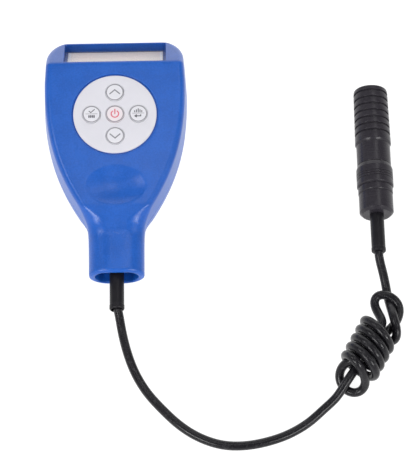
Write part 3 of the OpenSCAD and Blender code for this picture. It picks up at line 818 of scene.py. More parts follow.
@dataclass
class Housing:
    """Two moulded shells: wide display end, sloping keypad face, thumb dish and round neck."""

    width: float = 65.0
    length: float = 118.0
    height: float = 26.0
    neck_width: float = 24.6
    neck_height: float = 15.2
    neck_length: float = 24.5
    neck_round: Point2 = (0.4, 0.45)
    neck_blend: float = 5.0
    split: float = 7.6
    wall: float = 2.0
    corner: float = 8.0
    corner_length: float = 15.0
    edge: float = 3.0
    back_edge: float = 3.5
    least_edge: float = 0.6
    inner_edge: float = 0.7
    least_flat: Point2 = (0.5, 0.2)
    least_rise: float = 0.4
    flank_power: float = 2.4
    flank_soft: float = 0.045
    end_taper: float = 0.05
    face_slope: float = 5.6
    crest_soft: float = 0.5
    end_height: float = 9.6
    display_run: float = 19.2
    wide_run: float = 8.4
    shoulder: float = 14.0
    end_round: float = 1.6
    draft: float = 3.0
    seam: float = 0.22
    seam_height: float = 0.3
    row_gather: float = 0.93
    pad_back: float = 25.4
    pad_radius: float = 18.95
    pad_depth: float = 0.8
    seat_gap: float = 0.5
    seat_rim: Point2 = (0.5, 0.4)
    key_pitch: float = 10.5
    key_hole: float = 4.25
    dish_width: float = 27.0
    dish_length: float = 18.8
    dish_depth: float = 2.1
    dish_back: float = 34.0
    dish_soft: float = 0.06
    pocket_width: float = 46.4
    pocket_depth: float = 4.6
    pocket_near: float = 1.2
    pocket_inset: float = 1.6
    pocket_lip: float = 0.3
    well_wall: Point2 = (2.8, 0.5)
    well_levels: Point2 = (-6.0, -0.8)
    panel_room: Point2 = (44.0, 20.4)
    panel_levels: Point2 = (-9.0, -4.0)
    panel_middle: float = 13.3
    recess_width: float = 19.0
    recess_height: float = 10.0
    recess_depth: float = 7.0
    recess_lip: float = 0.95
    gland: float = 2.5
    gland_hole: float = 2.8
    bay_back: float = 2.9
    bay_width: float = 43.6
    bay_length: float = 49.0
    bay_wall: float = 1.2
    bay_corner: float = 1.5
    bay_top: float = 13.4
    bay_roof: float = 0.8
    floor_top: float = 1.0
    door_width: float = 42.0
    door_rail: float = 1.2
    door_rail_height: float = 1.1
    door_thickness: float = 2.2
    door_clear: float = 0.3
    run_gap: float = 0.1
    sliver: float = 0.02
    screw_in: Point2 = (6.3, 7.25)
    screw_back: Point2 = (7.4, 10.9)
    screw_boss: float = 3.3
    screw_sink: float = 3.0
    inner_grid: tuple[int, int] = (120, 65)
    front_grid: tuple[int, int] = (330, 129)
    back_grid: tuple[int, int] = (200, 97)

    @property
    def near_end(self) -> float:
        """Y of the neck end."""
        return -self.length / 2

    @property
    def far_end(self) -> float:
        """Y of the display end."""
        return self.length / 2

    @property
    def crest(self) -> float:
        """Y of the front edge of the display face."""
        return self.far_end - self.display_run

    @property
    def neck(self) -> float:
        """Y where the neck begins to widen."""
        return self.near_end + self.neck_length

    @property
    def widest(self) -> float:
        """Y of the widest station."""
        return self.crest - self.wide_run

    @property
    def display_slope(self) -> float:
        """Slope of the display face in degrees."""
        return math.degrees(math.atan((self.height - self.end_height) / self.display_run))

    @property
    def pocket_length(self) -> float:
        """Length of the display pocket up the display face."""
        face = self.display_run / math.cos(math.radians(self.display_slope))
        return face - self.pocket_inset - self.pocket_near

    @property
    def pocket_middle(self) -> float:
        """Middle of the display pocket up the display face."""
        return self.pocket_near + self.pocket_length / 2

    @property
    def bay_near(self) -> float:
        """Y of the battery bay's end towards the neck."""
        return self.bay_far - self.bay_length

    @property
    def bay_far(self) -> float:
        """Y of the battery bay's end towards the display."""
        return self.crest - self.bay_back

    @property
    def on_face(self) -> Matrix:
        """Frame on the sloping face at the keypad's middle."""
        lean = math.radians(self.face_slope)
        y = self.crest - self.pad_back * math.cos(lean)
        z = self.height - self.pad_back * math.sin(lean)
        return moved(0, y, z) @ turned(self.face_slope, "X")

    @property
    def on_display(self) -> Matrix:
        """Frame on the display face at its front edge, Y up the face."""
        return moved(0, self.crest, self.height) @ turned(-self.display_slope, "X")

    @property
    def on_neck(self) -> Matrix:
        """Frame on the neck end, Z out of it."""
        return moved(0, self.near_end, self.split) @ turned(90, "X")

    @property
    def key_places(self) -> list[Matrix]:
        """Frames of the keys on the face: up, down, middle, left, right."""
        p = self.key_pitch
        sites = ((0, p), (0, -p), (0, 0), (-p, 0), (p, 0))
        return [self.on_face @ moved(x, y, 0) for x, y in sites]

    @property
    def screw_places(self) -> list[Matrix]:
        """Frames of the four screws that join the shells."""
        rows = (self.crest - self.screw_back[0], self.bay_near - self.screw_back[1])
        return [
            moved(s * (self._half_width(y) - d), y, 0)
            for y, d in zip(rows, self.screw_in)
            for s in (-1, 1)
        ]

    def _half_width(self, y: float) -> float:
        """Return half the housing's width at a station, away from its rounded ends."""
        s = (y - self.neck) / (self.widest - self.neck)
        s = min(1.0, (s + math.sqrt(s * s + self.flank_soft**2)) / 2)
        neck_half = self.neck_width / 2
        full = neck_half + (self.width / 2 - neck_half) * (1 - (1 - s) ** self.flank_power)
        return full - self.end_taper * max(0.0, y - self.widest)

    def _solid(
        self, side: Side, inset: float, end_wall: float, skirt: float, grid: tuple[int, int]
    ) -> Mesh:
        """Run the loft's tree for one shell's outer or inner face and close its open rim.

        Args:
            side: Which shell.
            inset: Distance from the outer face.
            end_wall: Thickness of the wall at the neck end.
            skirt: Reach past the parting plane.
            grid: Rows and columns of the mesh.

        Returns:
            The solid inside the face.
        """
        outer = inset == 0
        g = ShapeGraph(f"loft_{side.name.lower()}_{'outer' if outer else 'inner'}", {
            "Rows": grid[0], "Columns": grid[1], "Inset": inset, "Skirt": skirt,
            "Near End": self.near_end + end_wall, "Far End": self.far_end - inset,
            "Width": self.width, "Neck Width": self.neck_width, "Height": self.height,
            "Neck Height": self.neck_height, "Split Height": self.split,
            "Corner Radius": self.corner - inset, "Corner Length": self.corner_length - inset,
            "End Radius": self.end_round if outer else 0.001,
            "Edge Radius": self.edge if side is Side.FRONT else self.back_edge,
            "Seam": self.seam if outer else 0.0, "Finish": PAINT(SHELL_BLUE),
        })
        self._loft(g, side)
        return tidy_mesh(g.mesh("loft"), fill=True)

    @staticmethod
    def _softer(a: Wire, b: Term, k: float, sign: int) -> Wire:
        """Return the smooth larger (sign 1) or smaller (sign -1) of two values."""
        return (a + b + ((a - b) * (a - b) + k * k).root() * sign) * 0.5

    @staticmethod
    def _drop(distance: Wire, radius: Wire) -> Wire:
        """Return the drop of a quarter round at a distance from its end."""
        left = radius - distance.most(0.0).least(radius)
        return radius - (radius * radius - left * left).root()

    def _loft(self, g: ShapeGraph, side: Side) -> None:
        """Write the rule of the housing's sections into a tree.

        Args:
            g: Tree with the loft's inputs.
            side: Which shell.
        """
        inset, split, rows, edge = g["Inset"], g["Split Height"], g["Rows"], g["Edge Radius"]
        sockets = {"Size X": 1.0, "Size Y": 1.0, "Vertices X": g["Columns"], "Vertices Y": rows}
        grid = g.add("GeometryNodeMeshGrid", sockets)
        u, v, _ = g.parts(g.add("GeometryNodeInputPosition"))
        across = abs(u) * 2
        row = ((v + 0.5) * (rows - 1)).maths("ROUND")
        along = ((row - 1) / (rows - 3)).unit()
        along = along - (along * TAU).sine() * (self.row_gather / TAU)
        y = g["Near End"] + (g["Far End"] - g["Near End"]) * along

        # Plan: the neck's width swells to the full width along a power curve
        reach = (y - self.neck) / (self.widest - self.neck)
        reach = self._softer(reach, 0.0, self.flank_soft, 1).least(1.0)
        flank = 1 - (1 - reach) ** self.flank_power
        slim = (y - self.widest).most(0.0) * self.end_taper
        neck_half = g["Neck Width"] * 0.5
        corner = g["Corner Radius"] / g["Corner Length"]
        far_drop = self._drop(self.far_end - inset - y, g["Corner Length"]) * corner
        near_drop = self._drop(y - self.near_end, g["End Radius"])
        half = neck_half + (g["Width"] * 0.5 - neck_half) * flank
        half = half - slim - inset - far_drop - near_drop
        crest = self._crest(g, side, y, near_drop)
        rise = abs(crest - split)

        # Section: flat, rounded long edge, drafted side wall down to the seam
        mix = (flank * self.neck_blend).least(1.0)
        rx, rz = (
            (neck + (edge - neck) * mix - inset * self.inner_edge)
            .most(self.least_edge).least(room - flat)
            for neck, room, flat in (
                (self.neck_width * self.neck_round[0], half, self.least_flat[0]),
                (self.neck_height * self.neck_round[1], rise, self.least_flat[1]),
            )
        )
        lean = math.tan(math.radians(self.draft))
        tall = rise - rz
        centre = half - tall * lean - rx
        flat_part, arc_part = 0.58, 0.84
        arc = ((across - flat_part) / (arc_part - flat_part)).unit() * (TAU / 4)
        down = 1 - (1 - ((across - arc_part) / (1 - arc_part)).unit()) ** 3
        over = (tall + g["Skirt"]) * (1 - down)
        x = centre * (across / flat_part).unit() + rx * arc.sine() + down * tall * lean
        x = x - g["Seam"] * (1 - over / self.seam_height).unit()
        z = split + (over - g["Skirt"] + rz * arc.cosine()) * side.value
        if side is Side.FRONT:
            z = self._dish(g, x, y, z)
        closed = row.least(rows - 1 - row).unit()
        base = split - g["Skirt"] * side.value
        z = base + (z - base) * closed
        x = x * u.maths("SIGN")
        sockets = {"Geometry": grid, "Position": g.vector(x * MM, y * MM, z * MM)}
        g.close(g.add("GeometryNodeSetPosition", sockets))

    def _crest(self, g: ShapeGraph, side: Side, y: Wire, near_drop: Wire) -> Wire:
        """Return the height of a shell's middle: neck, shoulder, sloping face and display face.

        Args:
            g: The loft's tree.
            side: Which shell.
            y: Station.
            near_drop: Drop of the round at the neck end.

        Returns:
            Height at each station.
        """
        inset, height = g["Inset"], g["Height"]
        if side is Side.BACK:
            return inset + near_drop + self._drop(self.far_end - y, g["End Radius"])
        face, fall = math.radians(self.face_slope), math.radians(self.display_slope)
        slope = height + (y - self.crest) * math.tan(face) - inset * (1 / math.cos(face))
        step = ((y - self.neck) / self.shoulder + 0.5).unit().eased()
        low = g["Neck Height"] - inset
        front = low + (slope - low) * step
        display = height - (y - self.crest) * math.tan(fall) - inset * (1 / math.cos(fall))
        far_drop = self._drop(self.far_end - y, g["End Radius"] * 0.5)
        crest = self._softer(front, display, self.crest_soft, -1) - near_drop - far_drop
        return crest.most(g["Split Height"] + self.least_rise)

    def _dish(self, g: ShapeGraph, x: Wire, y: Wire, z: Wire) -> Wire:
        """Sink the thumb dish, round in both directions, into the front.

        Args:
            g: The loft's tree.
            x: Distance from the middle.
            y: Station.
            z: Height of the front without the dish.

        Returns:
            Height of the front with the dish.
        """
        face, depth = math.radians(self.face_slope), self.dish_depth
        rise = (self.dish_length**2 / 4 - depth**2) / (2 * depth)
        bow = (self.dish_width**2 / 4 + depth**2) / (2 * depth)
        middle = self.crest - (self.pad_back + self.dish_back) * math.cos(face)
        off = (y - middle) * (1 / math.cos(face))
        radius = rise + depth - bow + (bow * bow - x * x).root()
        sink = (radius * radius - off * off).root() - rise
        plane = self.height + (y - self.crest) * math.tan(face)
        dished = plane - sink * (1 / math.cos(face)) - g["Inset"]
        return self._softer(z, dished, self.dish_soft, -1)

    def _cutters_front(self) -> list[Step]:
        """Return the well, the pocket, the keypad's seat, the key holes and the neck's mouth."""
        wide, long = self.pocket_width, self.pocket_length
        at_pocket = self.on_display @ moved(0, self.pocket_middle, 0)
        at_panel = self.on_display @ moved(0, self.panel_middle, 0)
        well = rounded_outline(wide + self.well_wall[0], long + self.well_wall[1], 1.0)
        pocket = partial(rounded_outline, wide, long, 0.9)
        room = rounded_outline(*self.panel_room, 0.5)
        seat_r = self.pad_radius + self.seat_gap
        seat = bore(seat_r, -self.pad_depth, self.seat_rim, 0.0, 3.0, 6)
        holes = [pin(self.key_hole, -4, 1, place) for place in self.key_places]
        return [
            (Cut.JOIN, prism(well, *self.well_levels, at_pocket)),
            (Cut.AWAY, flared(pocket, -self.pocket_depth, 6.0, self.pocket_lip, at_pocket)),
            (Cut.AWAY, prism(room, *self.panel_levels, at_panel)),
            (Cut.AWAY, lathe(seat, self.on_face, 160)),
            (Cut.AWAY, joined(holes)),
            *self._mouth(),
        ]

    def _mouth(self) -> list[Step]:
        """Return the oval recess in the neck end and the gland hole behind it."""
        wide, high = self.recess_width, self.recess_height
        oval = partial(rounded_outline, wide, high, high / 2 - 0.01, steps=14)
        return [
            (Cut.AWAY, flared(oval, -self.recess_depth, 2.0, self.recess_lip, self.on_neck)),
            (Cut.AWAY, pin(self.gland_hole, -12, -6, self.on_neck)),
        ]

    def _bay(self, grow: float, corner: float, low: float, high: float) -> Mesh:
        """Return the battery bay, grown by a wall, with cut corners at the neck end."""
        x, near, far = self.bay_width / 2 + grow, self.bay_near - grow, self.bay_far + grow
        right = [(x - corner, near), (x, near + corner), (x, far)]
        left = [(-x, far), (-x, near + corner), (-x + corner, near)]
        return prism([*left, *right], low, high)

    def _cutters_back(self) -> list[Step]:
        """Return the tray, the bay, the door's slide way, the screw holes and the neck's mouth."""
        grown = self.bay_corner + self.bay_wall * (2 - math.sqrt(2))
        x = self.bay_width / 2 + self.bay_wall
        gap, rail, top = self.run_gap, self.door_rail, self.door_clear + self.door_thickness
        half, near, far = self.door_width / 2 + gap, self.bay_near - gap, self.far_end + 5
        ledge, out = self.door_clear + self.door_rail_height, half + rail
        low, sink = self.floor_top, self.screw_sink
        hole = [(0, -1), (2.9, -1), (2.6, 0.3), (2.6, sink), (1.5, sink), (1.5, 12), (0, 12)]
        bosses, holes = [], []
        for place in self.screw_places:
            bosses.append(pin(self.screw_boss, low, self.split - self.sliver, place, 40))
            holes.append(lathe(hole, place, 48))
        return [
            (Cut.JOIN, block((-x, self.bay_near - 2.6, low), (x, self.far_end - 3, top + 1.1))),
            (Cut.JOIN, self._bay(self.bay_wall, grown, low, self.bay_top + self.bay_roof)),
            (Cut.JOIN, joined(bosses)),
            (Cut.AWAY, self._bay(0, self.bay_corner, -1.0, self.bay_top)),
            (Cut.AWAY, block((-half, near, -1.0), (half, far, ledge + self.sliver))),
            (Cut.AWAY, block((-out, near - rail, ledge - gap), (out, far, top + gap))),
            (Cut.AWAY, joined(holes)),
            *self._mouth(),
        ]

    def build(self) -> None:
        """Make both shells."""
        inner_wall = self.recess_depth + self.gland
        for side, name, grid, cutters in (
            (Side.FRONT, "front_shell", self.front_grid, self._cutters_front()),
            (Side.BACK, "rear_shell", self.back_grid, self._cutters_back()),
        ):
            hollow = self._solid(side, self.wall, inner_wall, 1.0, self.inner_grid)
            outer = self._solid(side, 0.0, 0.0, 0.0, grid)
            shell = worked(outer, [(Cut.AWAY, hollow), *cutters])
            piece_of(f"{name}_moulded", shell, SHELL_BLUE, [name], sharp=34)


# Keypad


class Sign(Enum):
    """Generic signs on the five keys; the value is the key's node."""

    UP = "key_up"
    DOWN = "key_down"
    POWER = "key_power"
    CONFIRM = "key_left"
    ADJUST = "key_right"

    @property
    def body(self) -> str:
        """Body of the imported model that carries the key."""
        return f"{self.value.removeprefix('key_')}_key"


@dataclass
class Keypad:
    """Round white plate with five caps and their printed signs."""

    housing: Housing
    plate_radius: float = 18.74
    plate_low: float = -0.8
    plate_top: float = -0.05
    plate_round: float = 0.28
    hole_round: float = 0.16
    cap_radius: float = 4.1
    cap_top: float = 0.2
    stem: tuple[Point2, ...] = ((1.5, -3.6), (1.5, -2.9))
    flange: tuple[Point2, ...] = ((4.8, -2.9), (4.8, -2.1))
    ink: float = 0.02
    bold: float = 0.56
    ring_in: float = 0.36
    ring_width: float = 0.42

    def _plate(self) -> None:
        """Make the plate with rounded rims."""
        low, top, wide = self.plate_low, self.plate_top, self.plate_radius
        disc = filleted([(0, low, 0), (wide, low, 0), (wide, top, self.plate_round), (0, top, 0)])
        lip = (self.hole_round, self.hole_round)
        hole = bore(self.housing.key_hole, -3, lip, top, 2, 4)
        holes = [lathe(hole, place, 72) for place in self.housing.key_places]
        plate = worked(lathe(disc, self.housing.on_face, 160), [(Cut.AWAY, joined(holes))])
        piece_of("keypad_disc", plate, PAD_WHITE, ["keypad_plate"])

    def _cap(self, sign: Sign, place: Matrix) -> None:
        """Make one key: rounded cap, flange under the wall, stem."""
        wide, top = self.cap_radius, self.cap_top
        profile = filleted([
            (0, self.stem[0][1], 0), (*self.stem[0], 0.1), (*self.stem[1], 0),
            (*self.flange[0], 0.15), (*self.flange[1], 0.15), (wide, self.flange[1][1], 0),
            (wide, top, 0.14), (0, top, 0),
        ])
        finish = KEY_ROSE if sign is Sign.POWER else KEY_WHITE
        piece_of(f"{sign.value}_cap", lathe(profile, place), finish, [sign.value], sign.body)

    @staticmethod
    def _arc(radius: float, start: float, end: float, steps: int) -> list[Point2]:
        """Return points of an arc between two angles in degrees."""
        angles = [math.radians(start + (end - start) * k / steps) for k in range(steps + 1)]
        return [(radius * math.cos(a), radius * math.sin(a)) for a in angles]

    def _strokes(self, sign: Sign) -> tuple[Finish, list[Stroke]]:
        """Return the ink and the strokes of a sign."""
        chevron = [(-2.2, -0.75), (0, 1.2), (2.2, -0.75)]
        rule = ([(-2.6, 0.15), (2.6, 0.15)], 0.16)
        if sign is Sign.UP:
            return INK_GREY, [(chevron, self.bold)]
        if sign is Sign.DOWN:
            return INK_GREY, [([(x, -y) for x, y in chevron], self.bold)]
        if sign is Sign.POWER:
            lines = (self._arc(1.65, 128, 412, 40), [(0, 0.1), (0, 2.1)])
            return INK_RED, [(line, self.bold) for line in lines]
        if sign is Sign.CONFIRM:
            tick = ([(-1.1, 1.45), (-0.3, 0.75), (1.3, 2.25)], 0.42)
            bars = [([(x, -1.5), (x, -0.75)], 0.62) for x in (-1.15, -0.38, 0.38, 1.15)]
            return INK_DARK, [tick, rule, *bars]
        heights = ((-1.6, 0.6), (-0.8, 1.0), (0, 1.5), (0.8, 1.0), (1.6, 0.6))
        scale = [([(x, 0.75), (x, 0.75 + h)], 0.44) for x, h in heights]
        shaft = [(-1.5, -1.2), (1.1, -1.2), (1.1, -0.65)]
        barb = [(-0.8, -0.7), (-1.5, -1.2), (-0.8, -1.7)]
        return INK_DARK, [*scale, rule, (shaft, 0.46), (barb, 0.46)]

    def build(self) -> None:
        """Make the plate, the caps and the signs."""
        self._plate()
        ring = self._arc(self.cap_radius - self.ring_in, 0, 360 * 95 / 96, 95)
        low, high = self.cap_top - 0.01, self.cap_top + self.ink
        for sign, place in zip(Sign, self.housing.key_places):
            self._cap(sign, place)
            colour, strokes = self._strokes(sign)
            border = printed([(ring, self.ring_width)], low, high, place, closed=True)
            piece_of(f"{sign.value}_ring", border, INK_GREY, body=sign.body)
            signed = printed(strokes, low, high, place)
            piece_of(f"{sign.value}_sign", signed, colour, body=sign.body)


# Display


@dataclass
class Display:
    """Clear window, printed bezel, a dark band painted as the shadow line at the pocket's far end,
    and crystal panel at the floor of the pocket.
    """

    housing: Housing
    pocket_depth: float = 3.4
    window: float = 0.3
    window_edge: float = 0.12
    seat: float = 0.05
    corner: float = 0.85
    panel_width: float = 43.6
    panel_length: float = 20.0
    panel_thickness: float = 3.3
    panel_edge: float = 0.15
    view_width: float = 41.0
    view_near: float = 4.9
    view_far: float = 22.4
    margin: float = 0.1
    print_low: float = 0.005
    print_high: float = 0.03
    # Inset of the painted shadow band from the panel's sides.
    shadow_band_in: float = 0.4

    def _slab(self, size: Point2, middle: float, low: float, high: float, soft: float) -> Mesh:
        """Return a thin slab with softened edges in the display's frame."""
        plan = partial(rounded_outline, *size, self.corner)
        grown = ((low, -soft), (low + soft, 0.0), (high - soft, 0.0), (high, -soft))
        place = self.housing.on_display @ moved(0, middle, 0)
        return stack([(z, plan(grow)) for z, grow in grown], place)

    def _frame(self, hole: tuple[Point2, Point2], rim: tuple[Point2, Point2], low: float,
               high: float) -> Mesh:
        """Return a flat printed frame between two rectangles.

        Args:
            hole: X range and Y range of the opening.
            rim: X range and Y range of the outside.
            low: Height of the underside.
            high: Height of the face.

        Returns:
            The frame.
        """
        section = ((hole, low), (rim, low), (rim, high), (hole, high), (hole, low))
        rings = [
            [(x[i], y[j], z) for i, j in ((0, 0), (1, 0), (1, 1), (0, 1))] for (x, y), z in section
        ]
        return loft(rings, self.housing.on_display, capped=False)

    def build(self) -> None:
        """Make the window, the bezel, the painted shadow band and the panel."""
        h = self.housing
        floor = -self.pocket_depth - self.window
        size = (h.pocket_width - 2 * self.seat, h.pocket_length - 2 * self.seat)
        glass = self._slab(size, h.pocket_middle, floor, -self.pocket_depth, self.window_edge)
        piece_of("display_glass", glass, CLEAR, ["display_window"], sharp=20)
        size, top = (self.panel_width, self.panel_length), floor - self.seat
        crystal = self._slab(
            size, h.panel_middle, floor - self.panel_thickness, top, self.panel_edge)
        piece_of("display_crystal", crystal, CRYSTAL, ["display_panel"], sharp=20)
        half, wide = self.view_width / 2, self.panel_width / 2 - self.margin
        reach = self.panel_length / 2 - self.margin
        near, far = h.panel_middle - reach, h.panel_middle + reach
        low, high = top + self.print_low, top + self.print_high
        hole = ((-half, half), (self.view_near, self.view_far))
        border = self._frame(hole, ((-wide, wide), (near, self.view_far + 0.02)), low, high)
        piece_of("display_border", border, BEZEL_WHITE, sharp=20)
        # Dark band along the panel's far edge: painted shadow standing for the shade line under the
        # pocket's far wall.
        x, y = wide - self.shadow_band_in, (self.view_far + far) / 2
        stroke = ([(-x, y), (x, y)], far - self.view_far)
        band = printed([stroke], low, high + self.print_low, h.on_display)
        piece_of("display_band", band, SHADOW_BAND_PAINT, sharp=20)


# Battery side


@dataclass
class BatterySide:
    """Sliding door with thumb ridges, cells, springs and the shells' screws, with room left for the
    contacts.
    """

    housing: Housing
    cell_count: int = 4
    cell_radius: float = 5.25
    cell_length: float = 44.5
    cell_pitch: float = 10.7
    cell_height: float = 7.95
    cell_play: float = 0.05
    cell_nub: float = 1.25
    spring_radii: Point2 = (3.6, 2.2)
    spring_wire: float = 0.3
    contact: float = 0.4
    ridge_count: int = 6
    ridge_pitch: float = 2.4
    ridge_width: float = 18.0
    ridge_radius: float = 0.55
    ridge_sink: float = 0.58
    scoop_length: float = 17.5
    scoop_back: float = 15.4
    scoop_depth: float = 0.55
    door_end: float = 1.2
    door_edge: float = 0.25
    screw_head: Point2 = (2.4, 2.0)
    screw_shank: float = 1.3
    screw_reach: float = 4.0
    cross: Point2 = (2.7, 0.62)

    def _door(self) -> None:
        """Make the door: outer plate, wider flange on the rails, and a scooped patch of ridges."""
        h, soft = self.housing, self.door_edge
        low, top = h.door_clear, h.door_clear + h.door_thickness
        ledge = low + h.door_rail_height
        near, far = h.bay_near, h.far_end - self.door_end
        middle, length = (near + far) / 2, far - near
        plan = partial(rounded_outline, h.door_width, length, 0.6)
        plate = [(low, plan(-soft)), (low + soft, plan()), (ledge + h.sliver, plan())]
        flange = rounded_outline(h.door_width + 2 * h.door_rail, length + h.door_rail, 0.5)
        plan = partial(rounded_outline, self.ridge_width + 4, self.scoop_length, 3.0)
        scoop = [(low - 0.5, plan(0.3)), (low, plan()), (low + self.scoop_depth, plan(-0.6))]
        scoop_at = h.far_end - self.scoop_back
        body = worked(stack(plate, moved(0, middle, 0)), [
            (Cut.JOIN, prism(flange, ledge, top, moved(0, middle - h.door_rail / 2, 0))),
            (Cut.AWAY, stack(scoop, moved(0, scoop_at, 0))),
        ])
        piece_of("battery_door_slide", body, DOOR_BLUE, ["battery_door"], "door", 30)
        self._ridges(scoop_at - self.ridge_pitch * (self.ridge_count - 1) / 2, low)

    def _ridges(self, start: float, low: float) -> None:
        """Set a row of rounded thumb ridges into the door's scoop."""
        g = ShapeGraph("thumb_ridges", {
            "Count": self.ridge_count, "Pitch": self.ridge_pitch * MM, "Start": start * MM,
            "Length": self.ridge_width * MM, "Radius": self.ridge_radius * MM,
            "Height": (low + self.ridge_sink) * MM, "Finish": PAINT(DOOR_BLUE),
        })
        ends = [g.vector(g["Length"] * s, 0.0, 0.0) for s in (-0.5, 0.5)]
        bar = g.add("GeometryNodeCurvePrimitiveLine", {"Start": ends[0], "End": ends[1]})
        first, offset = g.vector(0.0, g["Start"], g["Height"]), g.vector(0.0, g["Pitch"], 0.0)
        g.repeat(g.row(first, offset), g.rod(bar, g["Radius"], 16))
        piece_of("battery_door_ridges", tidy_mesh(g.mesh("ridges")), DOOR_BLUE, body="door")

    def _cell_end(self, i: int, far: bool, gap: float) -> Matrix:
        """Return a frame at one end of a cell, Z into the bay."""
        h, off = self.housing, self.contact + gap
        x = (i - (self.cell_count - 1) / 2) * self.cell_pitch
        place = moved(x, h.bay_far - off if far else h.bay_near + off, self.cell_height)
        return place @ turned(90 if far else -90, "X")

    def _cells(self) -> None:
        """Make the four cells, every other one turned round."""
        r, long, nub = self.cell_radius, self.cell_length, self.cell_nub
        wrap = filleted([
            (0, nub, 0), (r - 0.9, nub, 0), (r, 1.0, 0.25), (r, long, 0.35), (r - 1.3, long, 0.1),
            (0, long - 0.2, 0),
        ])
        button = filleted([
            (0, 0, 0), (1.9, 0, 0.25), (1.9, 1.3, 0), (r - 1.0, 1.3, 0), (r - 1.0, 1.2, 0)])
        wraps, buttons = [], []
        for i in range(self.cell_count):
            place = self._cell_end(i, i % 2 == 1, self.cell_play)
            wraps.append(lathe(wrap, place, 64))
            buttons.append(lathe([*button, (0, nub)], place, 48))
        piece_of("cells_wrap", joined(wraps), CELL_WRAP, ["batteries"])
        piece_of("cells_button", joined(buttons), STEEL)

    def _springs(self) -> None:
        """Wind the four contact springs."""
        wire = self.spring_wire
        room = self.housing.bay_length - self.cell_length - 2 * (self.contact + self.cell_play)
        coils = [
            wound("contact_spring", self.spring_radii, room - 2 * wire, wire,
                  self._cell_end(i, i % 2 == 0, wire))
            for i in range(self.cell_count)
        ]
        piece_of("cell_springs", joined(coils), STEEL, ["battery_springs"])

    def _screws(self) -> None:
        """Repeat one cross-head screw at its four places."""
        h, thin = self.housing, self.screw_shank
        sink, end = h.screw_sink, h.split + self.screw_reach
        wide, low = self.screw_head[0], sink - self.screw_head[1]
        shank = filleted([
            (0, low, 0), (wide, low, 0.35), (wide, sink, 0), (thin, sink, 0), (thin, end, 0.3),
            (0, end, 0),
        ])
        blade = rounded_outline(*self.cross, 0.2)
        levels = [(low - 0.5, blade), (low + 1.0, [(x * 0.6, y * 0.8) for x, y in blade])]
        slots = [(Cut.AWAY, stack(levels, turned(a, "Z"))) for a in (0, 90)]
        sites = bpy.data.meshes.new("screw_sites")
        sites.from_pydata([place.translation * MM for place in h.screw_places], [], [])
        g = ShapeGraph("shell_screws", {"Finish": PAINT(STEEL)})
        g.repeat(g["Geometry"], g.shape(worked(lathe(shank, segments=48), slots)))
        piece_of("shell_screw_set", g.mesh("screws", sites), STEEL, ["shell_screws"])

    def build(self) -> None:
        """Make the whole back side."""
        self._door()
        self._cells()
        self._springs()
        self._screws()


# Probe


